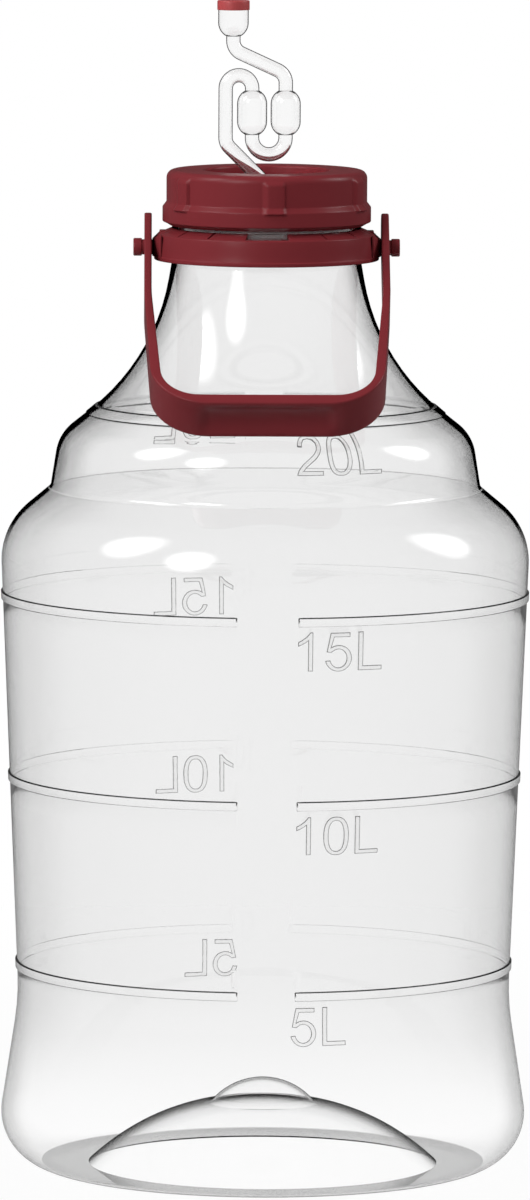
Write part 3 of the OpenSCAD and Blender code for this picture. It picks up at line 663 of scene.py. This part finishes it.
ring = {
    "bottom": 466.7, "topOfWall": 479.8, "beadHeight": 482.8, "bottomRadius": 57.4, "topRadius": 55.8, "wall": 2.2,
    "hemHeight": 2.4, "hem": 0.6, "tipRadius": 48.6, "innerRadius": 47.1, "fingers": 16, "slot": 1.2,
    "padX": 53.6, "padWidth": 38, "padLow": 467.76, "padHigh": 479.76, "face": 58.3,
    "roofX": 54.7, "roofWidth": 10, "roofLow": 477.1, "roofHigh": 481.5,
    "pivot": 472.8, "studRadius": 3.9, "headRadius": 4.55, "headFrom": 63.6, "headTo": 68.0,
}


def makeRoundTree():  # repeats a piece round Z, leaving out the places at the front and the back
    tree, given, out = newTree("roundTree", [
        ("Piece", "Object", None), ("Count", "Int", 16), ("First Angle", "Float", 0.0), ("Widest", "Float", 0.99),
        ("Material", "Material", None)])
    step = mathNode(tree, "DIVIDE", 2 * math.pi, given["Count"])
    index = addNode(tree, "GeometryNodeInputIndex").outputs[0]
    angle = mathNode(tree, "MULTIPLY_ADD", index, step, given["First Angle"])
    points = addNode(tree, "GeometryNodePoints", {"Count": given["Count"]}).outputs[0]
    kept = addNode(tree, "FunctionNodeCompare", {0: mathNode(tree, "ABSOLUTE", mathNode(tree, "SINE", angle)), 1: given["Widest"]},
                   operation="LESS_THAN").outputs[0]
    shape = addNode(tree, "GeometryNodeObjectInfo", {"Object": given["Piece"]}).outputs["Geometry"]
    turn = addNode(tree, "ShaderNodeCombineXYZ", {2: angle}).outputs[0]
    placed = addNode(tree, "GeometryNodeInstanceOnPoints", {"Points": points, "Selection": kept, "Instance": shape, "Rotation": turn}).outputs[0]
    whole = addNode(tree, "GeometryNodeRealizeInstances", {0: placed}).outputs[0]
    dressed = addNode(tree, "GeometryNodeSetMaterial", {"Geometry": whole, "Material": given["Material"]}).outputs[0]
    tree.links.new(dressed, out[0])
    return tree


def sectorPiece(name, outline, half, steps=8):  # an outline of (radius, height) swept from -half to +half degrees
    rings = []
    for i in range(steps + 1):
        a = math.radians(-half + 2 * half * i / steps)
        rings.append([(r * math.cos(a), r * math.sin(a), z) for r, z in outline])
    return bridgeRings(name, rings, caps=True)


def makeRing():
    wall = ring["wall"]
    outline = roundedPath([
        (ring["bottomRadius"], ring["bottom"], 0.5), (ring["bottomRadius"], ring["bottom"] + ring["hemHeight"] - ring["hem"], 0.25),
        (ring["bottomRadius"] - ring["hem"], ring["bottom"] + ring["hemHeight"], 0.25), (ring["topRadius"], ring["topOfWall"], 0.7),
        (ring["topRadius"] - wall + 0.4, ring["topOfWall"] + 0.6, 0.3), (ring["topRadius"] - wall, ring["topOfWall"] - wall),
        (ring["bottomRadius"] - wall, ring["bottom"], 0.4)], step=20)
    wallPiece = turnPiece("ringWall", splitPath(outline, 4), 160, closed=True)
    finger = sectorPiece("fingerShape", [
        (ring["topRadius"] - 0.5, ring["topOfWall"] + 0.16), (ring["tipRadius"], ring["beadHeight"] - 0.05),
        (ring["innerRadius"], ring["beadHeight"] - 0.05), (ring["innerRadius"], ring["beadHeight"] - wall),
        (ring["topRadius"] - wall, ring["topOfWall"] - wall)], 180 / ring["fingers"] - math.degrees(ring["slot"] / 2 / 52))
    addBevel(finger, 0.25, 2)
    finger = plainCopy(finger, "fingerShape", 40)
    tree = makeRoundTree()
    fingers = growPiece("ringFingers", tree, {"Piece": finger, "Count": ring["fingers"], "Material": redPlastic})
    rib = sectorPiece("ribShape", [(55.4, 467.8), (55.0, 477.6), (50.4, 477.6), (47.4, 474.6), (49.0, 467.8)], 0.85, 1)
    ribs = growPiece("ringRibs", tree, {"Piece": rib, "Count": ring["fingers"], "Material": redPlastic})
    for shape in (finger, rib):
        bpy.data.objects.remove(shape)
    return wallPiece, fingers, ribs


def makePivots():
    made = []
    for side in (1, -1):
        bm = bmesh.new()
        half = ring["padWidth"] / 2
        points = [(ring["padX"] + d, y, z) for d in (0, 0.8) for y in (-half, half) for z in (ring["padLow"], ring["padHigh"])]
        for i in range(32):
            a = 2 * math.pi * i / 32
            points += [(ring["face"] - d, ring["headRadius"] * math.cos(a), ring["pivot"] + ring["headRadius"] * math.sin(a)) for d in (0, 0.5)]
        verts = [bm.verts.new(Vector((side * x, y, z)) * mm) for x, y, z in points]
        hull = bmesh.ops.convex_hull(bm, input=verts)
        bmesh.ops.delete(bm, geom=[v for v in bm.verts if not v.link_faces], context="VERTS")
        bmesh.ops.dissolve_limit(bm, angle_limit=math.radians(1.5), verts=bm.verts[:], edges=bm.edges[:])
        pad = addBevel(finishMesh("pad", bm, 30), 0.4, 3, 20)
        made.append(plainCopy(pad, "pad", 30))
        bm = bmesh.new()
        bmesh.ops.create_cube(bm, size=1)
        low, high = (49.5, -ring["roofWidth"] / 2, ring["roofLow"]), (ring["roofX"], ring["roofWidth"] / 2, ring["roofHigh"])
        for v in bm.verts:
            v.co = Vector([side ** (k == 0) * (low[k] + (high[k] - low[k]) * (v.co[k] + 0.5)) for k in range(3)]) * mm
        roof = addBevel(finishMesh("roof", bm, 30), 0.5, 3, 30)
        made.append(plainCopy(roof, "roof", 30))
        profile = roundedPath([(0, ring["face"] - 0.6), (ring["studRadius"], ring["face"] - 0.6), (ring["studRadius"], ring["headFrom"]),
                               (ring["headRadius"], ring["headFrom"], 0.5), (ring["headRadius"], ring["headTo"], 0.7), (0, ring["headTo"])], step=20)
        stud = turnPiece("stud", profile, 48)
        turned = Matrix.Translation((0, 0, ring["pivot"] * mm)) @ Matrix.Rotation(math.radians(90 * side), 4, "Y")
        stud.data.transform(turned)
        made.append(stud)
    return joinPieces("ringPivots", made)


ringWall, ringFingers, ringRibs = makeRing()
dress(ringWall, redPlastic, "red_plastic", "jar", "carrier_ring")
for piece in (ringFingers, ringRibs, makePivots()):
    dress(piece, redPlastic, "red_plastic", "jar")
print("carrier ring made")


handle = {
    "pivot": 472.8, "restAngle": 54, "armIn": 58.6, "armOut": 62.4, "straight": 48, "bend": 150,
    "reach": 127, "gripThickness": 7, "gripIn": 52.6, "gripOut": 57.9, "cornerIn": 20, "cornerOut": 30,
    "width": 22.8, "tail": 9.4, "edge": 0.9, "dish": 3.0, "dishWidth": 18, "dishHalf": 33.9, "hole": 3.95,
}


def makeHandle():
    half, tail = handle["width"] / 2, handle["tail"]
    foot = handle["reach"]

    def side(x, lean, depth, corner):  # from the round end down to the middle of the grip
        path = roundedPath([(x, tail), (x, -handle["straight"], handle["bend"]), (lean, -depth, corner), (0, -depth)], count=14)
        ends = [(path[k], path[k + 1]) for k in range(len(path) - 1)]
        out = [path[0]]
        for k, (a, b) in enumerate(ends):
            pieces = {0: 12, 15: 12, len(ends) - 1: 16}.get(k, 1)
            out += [(a[0] + (b[0] - a[0]) * i / pieces, a[1] + (b[1] - a[1]) * i / pieces) for i in range(1, pieces + 1)]
        return out
    inner = side(handle["armIn"], handle["gripIn"], foot, handle["cornerIn"])
    outer = side(handle["armOut"], handle["gripOut"], foot + handle["gripThickness"], handle["cornerOut"])
    stations = [(a, b, half) for a, b in zip(inner, outer)]
    round_ = []
    for k in range(1, 15):
        a = math.radians(90 * k / 14)
        up = tail + half * math.sin(a)
        round_.append(((handle["armIn"], up), (handle["armOut"], up), max(0.03, half * math.cos(a))))
    stations = round_[::-1] + stations
    mirrored = [((-a[0], a[1]), (-b[0], b[1]), w) for a, b, w in stations[:-1]][::-1]
    rings = []
    turn = Matrix.Translation((0, 0, handle["pivot"])) @ Matrix.Rotation(-math.radians(handle["restAngle"]), 4, "X")
    ball = (handle["dishWidth"] ** 2 / 4 + handle["dish"] ** 2) / (2 * handle["dish"])
    for a, b, w in stations + mirrored:
        thick = math.dist(a, b)
        edge = min(handle["edge"], w * 0.5, thick * 0.4)
        deep = ramp(abs(b[0]), handle["dishHalf"] + 1, handle["dishHalf"] - 5) if b[1] < -foot else 0
        loop = []
        for centre, start in (((edge, -w + edge), 180), ((thick - edge, -w + edge), 270), ((thick - edge, w - edge), 0), ((edge, w - edge), 90)):
            loop += arcPoints(centre, edge, start, start + 90, 4)
            if start == 270:  # across the outer face, hollowed on the grip
                across = []
                for i in range(1, 24):
                    v = -w + edge + (2 * w - 2 * edge) * i / 24
                    dip = math.sqrt(ball * ball - v * v) - (ball - handle["dish"]) if abs(v) < handle["dishWidth"] / 2 else 0
                    across.append((thick - deep * max(0, dip), v))
                loop += across
        ringPoints = []
        for u, v in loop:
            x, z = a[0] + (b[0] - a[0]) * u / thick, a[1] + (b[1] - a[1]) * u / thick
            ringPoints.append(turn @ Vector((x, v, z)))
        rings.append(ringPoints)
    solid = bridgeRings("handleSolid", rings, caps=True, sharp=50)
    drill = turnPiece("drill", [(0, -80), (handle["hole"], -80), (handle["hole"], 80), (0, 80)], 48)
    drill.data.transform(Matrix.Translation((0, 0, handle["pivot"] * mm)) @ Matrix.Rotation(math.radians(90), 4, "Y"))
    cut = solid.modifiers.new("drill", "BOOLEAN")
    cut.operation, cut.object, cut.solver = "DIFFERENCE", drill, "EXACT"
    made = plainCopy(solid, "carrierHandle", 50)
    bpy.data.objects.remove(drill)
    return made


handlePiece = makeHandle()
dress(handlePiece, redPlastic, "red_plastic", "handle", "handle")
print("handle made", len(handlePiece.data.polygons))


lid = {
    "bottom": 484.3, "top": 512.5, "bore": 48.7, "skirtRadius": 53.2, "skirtTop": 493.7, "flare": 2.6, "panelRadius": 51.2,
    "round": 4, "thickness": 2.2, "wellRadius": 32, "wellTaper": 0.8, "wellFloor": 498.7, "hole": 7.5,
    "ribs": 6, "ribWidth": 10.5, "ribProud": 1.6, "ribLow": 492.5, "ribHigh": 510.2, "turn": 3.9,
}


def makePanelTree():  # swells ribs out of the lid's wall between its grip panels
    tree, given, out = newTree("panelTree", [
        ("Ribs", "Int", 6), ("Turn", "Float", 0.0), ("Half Width", "Float", 5.0), ("Slope", "Float", 1.6), ("Proud", "Float", 0.0016),
        ("Low", "Float", 0.49), ("High", "Float", 0.51), ("Wall Radius", "Float", 0.0505), ("Material", "Material", None)])
    place = addNode(tree, "ShaderNodeSeparateXYZ", {0: addNode(tree, "GeometryNodeInputPosition").outputs[0]}).outputs
    angle = mathNode(tree, "DEGREES", mathNode(tree, "ARCTAN2", place[1], place[0]))
    step = mathNode(tree, "DIVIDE", 360.0, given["Ribs"])
    turned = mathNode(tree, "SUBTRACT", angle, given["Turn"])
    share = mathNode(tree, "SUBTRACT", mathNode(tree, "FRACT", mathNode(tree, "ADD", mathNode(tree, "DIVIDE", turned, step), 0.5)), 0.5)
    away = mathNode(tree, "ABSOLUTE", mathNode(tree, "MULTIPLY", share, step))
    edge = mathNode(tree, "ADD", given["Half Width"], given["Slope"])
    acrossMask = addNode(tree, "ShaderNodeMapRange", {0: away, 1: edge, 2: given["Half Width"]}, interpolation_type="SMOOTHSTEP").outputs[0]
    lowEdge = mathNode(tree, "ADD", given["Low"], 0.001)
    highEdge = mathNode(tree, "SUBTRACT", given["High"], 0.0026)
    above = addNode(tree, "ShaderNodeMapRange", {0: place[2], 1: given["Low"], 2: lowEdge}, interpolation_type="SMOOTHSTEP").outputs[0]
    below = addNode(tree, "ShaderNodeMapRange", {0: place[2], 1: given["High"], 2: highEdge}, interpolation_type="SMOOTHSTEP").outputs[0]
    flat = addNode(tree, "ShaderNodeCombineXYZ", {0: place[0], 1: place[1]}).outputs[0]
    far = addNode(tree, "ShaderNodeVectorMath", {0: flat}, operation="LENGTH").outputs["Value"]
    outside = mathNode(tree, "GREATER_THAN", far, given["Wall Radius"])
    mask = mathNode(tree, "MULTIPLY", mathNode(tree, "MULTIPLY", acrossMask, mathNode(tree, "MULTIPLY", above, below)), outside)
    outward = addNode(tree, "ShaderNodeVectorMath", {0: flat}, operation="NORMALIZE").outputs[0]
    push = mathNode(tree, "MULTIPLY", mask, given["Proud"])
    offset = addNode(tree, "ShaderNodeVectorMath", {0: outward, "Scale": push}, operation="SCALE").outputs[0]
    moved = addNode(tree, "GeometryNodeSetPosition", {"Geometry": given["Geometry"], "Offset": offset}).outputs[0]
    whole = addNode(tree, "GeometryNodeRealizeInstances", {0: moved}).outputs[0]
    dressed = addNode(tree, "GeometryNodeSetMaterial", {"Geometry": whole, "Material": given["Material"]}).outputs[0]
    tree.links.new(dressed, out[0])
    return tree


def makeLid():
    base, top, bore, wall, thick = lid["bottom"], lid["top"], lid["bore"], lid["panelRadius"], lid["thickness"]
    well, floor, skirt = lid["wellRadius"], lid["wellFloor"], lid["skirtRadius"]
    taper = well - lid["wellTaper"]
    outline = roundedPath([
        (bore, base, 0.3), (bore + 0.7, base, 0.3), (skirt - 2, base + 1.1, 0.8), (skirt, base + 2, 0.7),
        (skirt, lid["skirtTop"], 1.1), (wall, lid["skirtTop"] + lid["flare"], 0.9), (wall, top, lid["round"]),
        (well, top, 1.2), (taper, floor, 1.2), (lid["hole"], floor), (lid["hole"], floor - thick),
        (taper + thick, floor - thick, 1.0), (well + thick, top - thick, 0.6), (bore, top - thick, 0.6)], step=12)
    shell = turnPiece("lidShell", splitPath(outline, 0.9), 288, closed=True, sharp=50)
    return growPiece("screwLid", makePanelTree(), {
        "Ribs": lid["ribs"], "Turn": lid["turn"] - 90.0, "Half Width": lid["ribWidth"] / 2 - 0.6, "Slope": 1.5, "Proud": lid["ribProud"] * mm,
        "Low": lid["ribLow"] * mm, "High": lid["ribHigh"] * mm, "Wall Radius": 0.0504, "Material": redPlastic}, base=shell, sharp=50)


lidPiece = makeLid()
dress(lidPiece, redPlastic, "red_plastic", "lid", "screw_lid")
lidThread = growPiece("lidThread", threadTree, {
    "Radius": lid["bore"] * mm, "Pitch": jar["threadPitch"] * mm, "Turns": 1.4, "Start": (jar["threadStart"] - 3) * mm,
    "Half Width": 0.0012, "Material": redPlastic})
dress(lidThread, redPlastic, "red_plastic", "lid")
for node in ("lid_seal", "airlock_grommet"):
    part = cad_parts[node]
    part.data.materials.clear()
    part.data.materials.append(darkRubber)
print("lid made", len(lidPiece.data.polygons))


airlock = {
    "base": 512.5, "tube": 3.65, "wall": 0.9, "bulb": 7.65, "bulbHeight": 22.5, "uBend": 8.55, "loopBend": 6.75,
    "innerX": -7.7, "uUp": 16.3, "knee": 7, "slope": 24.7, "cupX": -17.4, "cup": 7.75, "cupHeight": 10.2,
    "stemEnd": -29.8, "slant": 13.3, "riser": 8.5, "cupStub": 6.8, "stub": 1.5, "columns": 36,
    "capRadius": 8.25, "capHeight": 4.8, "capRoof": 1.2,
}


def airlockCentreline():  # (x, height, radius) from the stem's end to the rim of the cup
    a = airlock
    outerX, downX = a["innerX"] + 2 * a["uBend"], a["innerX"] - 2 * a["loopBend"]
    bulbLow = a["uUp"] + a["stub"]
    bulbTop = bulbLow + a["bulbHeight"]
    loopZ, upper = bulbTop + 1, bulbTop + a["riser"]
    cupZ = upper + (outerX - a["cupX"]) * math.tan(math.radians(a["slope"]))
    cupFoot = cupZ + a["cupStub"]
    cupDome = math.sqrt(a["cup"] ** 2 - a["tube"] ** 2)
    top = cupFoot + cupDome + a["cupHeight"]

    def swell(z, low, high, radius):  # a bulb with round ends, as (height, radius)
        dome = math.sqrt(radius ** 2 - a["tube"] ** 2)
        marks = [dome * (1 - math.cos(math.radians(90 * i / 12))) for i in range(13)]
        heights = [low + m for m in marks] + ([high - m for m in marks[::-1]] if high else [])
        return [(h, math.sqrt(max(a["tube"] ** 2, radius ** 2 - max(0, dome - min(h - low, (high or 1e9) - h)) ** 2))) for h in heights]
    t = a["tube"]
    line = [(x, z, t) for x, z in splitPath(roundedPath([(0, a["stemEnd"]), (0, a["slant"] + downX, a["knee"]), (downX, a["slant"], a["knee"]), (downX, loopZ)], step=7), 5)]
    line += [(x, z, t) for x, z in arcPoints(((downX + a["innerX"]) / 2, loopZ), a["loopBend"], 180, 0, 24)[1:]]
    line += [(a["innerX"], h, r) for h, r in swell(0, bulbLow, bulbTop, a["bulb"])[::-1]]
    line += [(x, z, t) for x, z in arcPoints(((a["innerX"] + outerX) / 2, a["uUp"]), a["uBend"], 180, 360, 28)]
    line += [(outerX, h, r) for h, r in swell(0, bulbLow, bulbTop, a["bulb"])]
    line += [(x, z, t) for x, z in splitPath(roundedPath([(outerX, bulbTop + 0.5), (outerX, upper, a["knee"]), (a["cupX"], cupZ, a["knee"]), (a["cupX"], cupFoot - 0.2)], step=7), 5)]
    line += [(a["cupX"], h, r) for h, r in swell(0, cupFoot, None, a["cup"])]
    line += [(a["cupX"], top, a["cup"])]
    return line, top


def makeAirlock():
    line, top = airlockCentreline()
    outside, inside = [], []
    for i, (x, z, r) in enumerate(line):
        before = next((p for p in line[i - 1::-1] if math.dist(p[:2], (x, z)) > 0.02), None) if i else None
        after = next((p for p in line[i + 1:] if math.dist(p[:2], (x, z)) > 0.02), None)
        ends = (before or (x, z), after or (x, z))
        along = (Vector(ends[1][:2]) - Vector(ends[0][:2])).normalized()
        across = Vector((-along.y, along.x))

        def loop(radius):
            return [(x + radius * math.cos(t) * across.x, radius * math.sin(t), airlock["base"] + z + radius * math.cos(t) * across.y)
                    for t in (2 * math.pi * k / airlock["columns"] for k in range(airlock["columns"]))]
        outside.append(loop(r))
        inside.append(loop(r - airlock["wall"]))

    def finish(row, column):  # 0 tube, 1 inside, 2 bulbs and cup
        return 1 if row >= len(line) - 1 else 2 if min(line[row][2], line[row + 1][2]) > 5 else 0
    return bridgeRings("airlockTube", outside + inside[::-1], closed=True, sharp=28, finish=finish), top


def makeCap(top):
    a = airlock
    high = a["base"] + top + 0.05 + a["capRoof"]
    low = high - a["capHeight"]
    bore = a["cup"] + 0.05
    outline = roundedPath([(0, high - a["capRoof"]), (bore, high - a["capRoof"]), (bore, low, 0.12), (a["capRadius"], low, 0.15),
                           (a["capRadius"], high, 0.5), (0, high)], step=20)
    made = turnPiece("airlockCap", outline, 64)
    made.data.transform(Matrix.Translation((a["cupX"] * mm, 0, 0)))
    return made


airlockPiece, cupTop = makeAirlock()
dress(airlockPiece, [airlockPlastic, airlockInside, airlockBulb], "clear_airlock", "airlock", "airlock_tube")
dress(makeCap(cupTop), capPlastic, "red_cap", "cap", "airlock_cap")
print("airlock made", len(airlockPiece.data.polygons))


# The stage: a white floor that fades into a white world, three soft boxes and the camera
stage = {
    "lookAt": (0.0, 0.0, 0.2918), "distance": 5.555, "pitch": 6.14, "azimuth": -0.65, "roll": 0.26, "lens": 325.5,
    "world": 0.31, "mirrored": 0.08, "floorColour": 0.32, "floorFade": (0.2, 1.0), "floorWhite": 0.965,
}


def makeFloor():
    bm = bmesh.new()
    bmesh.ops.create_circle(bm, cap_ends=True, segments=96, radius=6.0)
    floor = finishMesh("floor", bm)
    floor.location.z = -0.0005
    material, tree, skin, out = newMaterial("paleFloor")
    skin.inputs["Base Color"].default_value = (*[stage["floorColour"]] * 3, 1)
    skin.inputs["Roughness"].default_value = 0.9
    skin.inputs["Specular IOR Level"].default_value = 0.0
    where = addNode(tree, "ShaderNodeTexCoord").outputs["Object"]
    away = addNode(tree, "ShaderNodeVectorMath", {0: where}, operation="LENGTH").outputs["Value"]
    fade = addNode(tree, "ShaderNodeMapRange", {0: away, 1: stage["floorFade"][0], 2: stage["floorFade"][1], 3: stage["floorWhite"]}, interpolation_type="SMOOTHSTEP").outputs[0]
    path = addNode(tree, "ShaderNodeLightPath").outputs
    seen = mathNode(tree, "MAXIMUM", path["Is Camera Ray"], path["Is Transmission Ray"])
    share = mathNode(tree, "MULTIPLY", seen, fade)
    white = addNode(tree, "ShaderNodeEmission", {"Color": (1, 1, 1, 1), "Strength": 1.0}).outputs[0]
    mixed = addNode(tree, "ShaderNodeMixShader", {0: share, 1: skin.outputs[0], 2: white}).outputs[0]
    tree.links.new(mixed, out.inputs["Surface"])
    floor.data.materials.append(material)


def makeWorld():
    world = bpy.data.worlds.new("whiteStudio")
    world.use_nodes = True
    scene.world = world
    tree = world.node_tree
    tree.nodes.clear()
    path = addNode(tree, "ShaderNodeLightPath").outputs
    seen = mathNode(tree, "MAXIMUM", path["Is Camera Ray"], path["Is Transmission Ray"])
    level = mathNode(tree, "MULTIPLY_ADD", path["Is Glossy Ray"], stage["mirrored"] - stage["world"], stage["world"])
    grey = addNode(tree, "ShaderNodeBackground", {"Color": (1, 1, 1, 1), "Strength": level}).outputs[0]
    white = addNode(tree, "ShaderNodeBackground", {"Color": (1, 1, 1, 1), "Strength": 1.0}).outputs[0]
    mixed = addNode(tree, "ShaderNodeMixShader", {0: seen, 1: grey, 2: white}).outputs[0]
    out = addNode(tree, "ShaderNodeOutputWorld")
    tree.links.new(mixed, out.inputs["Surface"])


def addSoftBox(name, azimuth, elevation, distance, width, height, power):
    lamp = bpy.data.lights.new(name, "AREA")
    lamp.shape, lamp.size, lamp.size_y, lamp.energy = "ELLIPSE", width, height, power
    lamp.use_nodes = True
    tree = lamp.node_tree
    place = addNode(tree, "ShaderNodeNewGeometry").outputs["Parametric"]
    centred = addNode(tree, "ShaderNodeVectorMath", {0: place, 1: (0.5, 0.5, 0.0)}, operation="SUBTRACT").outputs[0]
    flat = addNode(tree, "ShaderNodeVectorMath", {0: centred, 1: (1.0, 1.0, 0.0)}, operation="MULTIPLY").outputs[0]
    away = addNode(tree, "ShaderNodeVectorMath", {0: flat}, operation="LENGTH").outputs["Value"]
    glow = addNode(tree, "ShaderNodeMapRange", {0: away, 1: 0.5, 2: 0.22, 3: 0.0, 4: 1.5}, interpolation_type="SMOOTHSTEP").outputs[0]
    tree.links.new(glow, next(node for node in tree.nodes if node.type == "EMISSION").inputs["Strength"])
    holder = bpy.data.objects.new(name, lamp)
    scene.collection.objects.link(holder)
    a, e = math.radians(azimuth), math.radians(elevation)
    target = Vector((0, 0, 0.3))
    way = Vector((math.sin(a) * math.cos(e), -math.cos(a) * math.cos(e), math.sin(e)))
    holder.location = target + way * distance
    holder.rotation_euler = way.to_track_quat("Z", "Y").to_euler()
    holder.visible_camera = False
    holder.visible_transmission = False
    return holder


def makeCamera():
    lens = bpy.data.cameras.new("camera")
    lens.lens, lens.sensor_width, lens.clip_end = stage["lens"], 36, 50
    camera = bpy.data.objects.new("camera", lens)
    scene.collection.objects.link(camera)
    a, e = math.radians(stage["azimuth"]), math.radians(stage["pitch"])
    way = Vector((math.sin(a) * math.cos(e), -math.cos(a) * math.cos(e), math.sin(e)))
    camera.location = Vector(stage["lookAt"]) + way * stage["distance"]
    camera.rotation_euler = (way.to_track_quat("Z", "Y").to_matrix() @ Matrix.Rotation(math.radians(stage["roll"]), 3, "Z")).to_euler()
    scene.camera = camera


makeFloor()
makeWorld()
addSoftBox("leftFrontBox", -36, 30, 2.6, 1.15, 1.7, 32)
addSoftBox("leftBox", -74, 41, 2.6, 1.3, 1.9, 32)
addSoftBox("rightBox", 97, 33, 2.6, 1.3, 1.9, 29)
makeCamera()
scene.view_settings.view_transform = "Standard"
print("stage made")
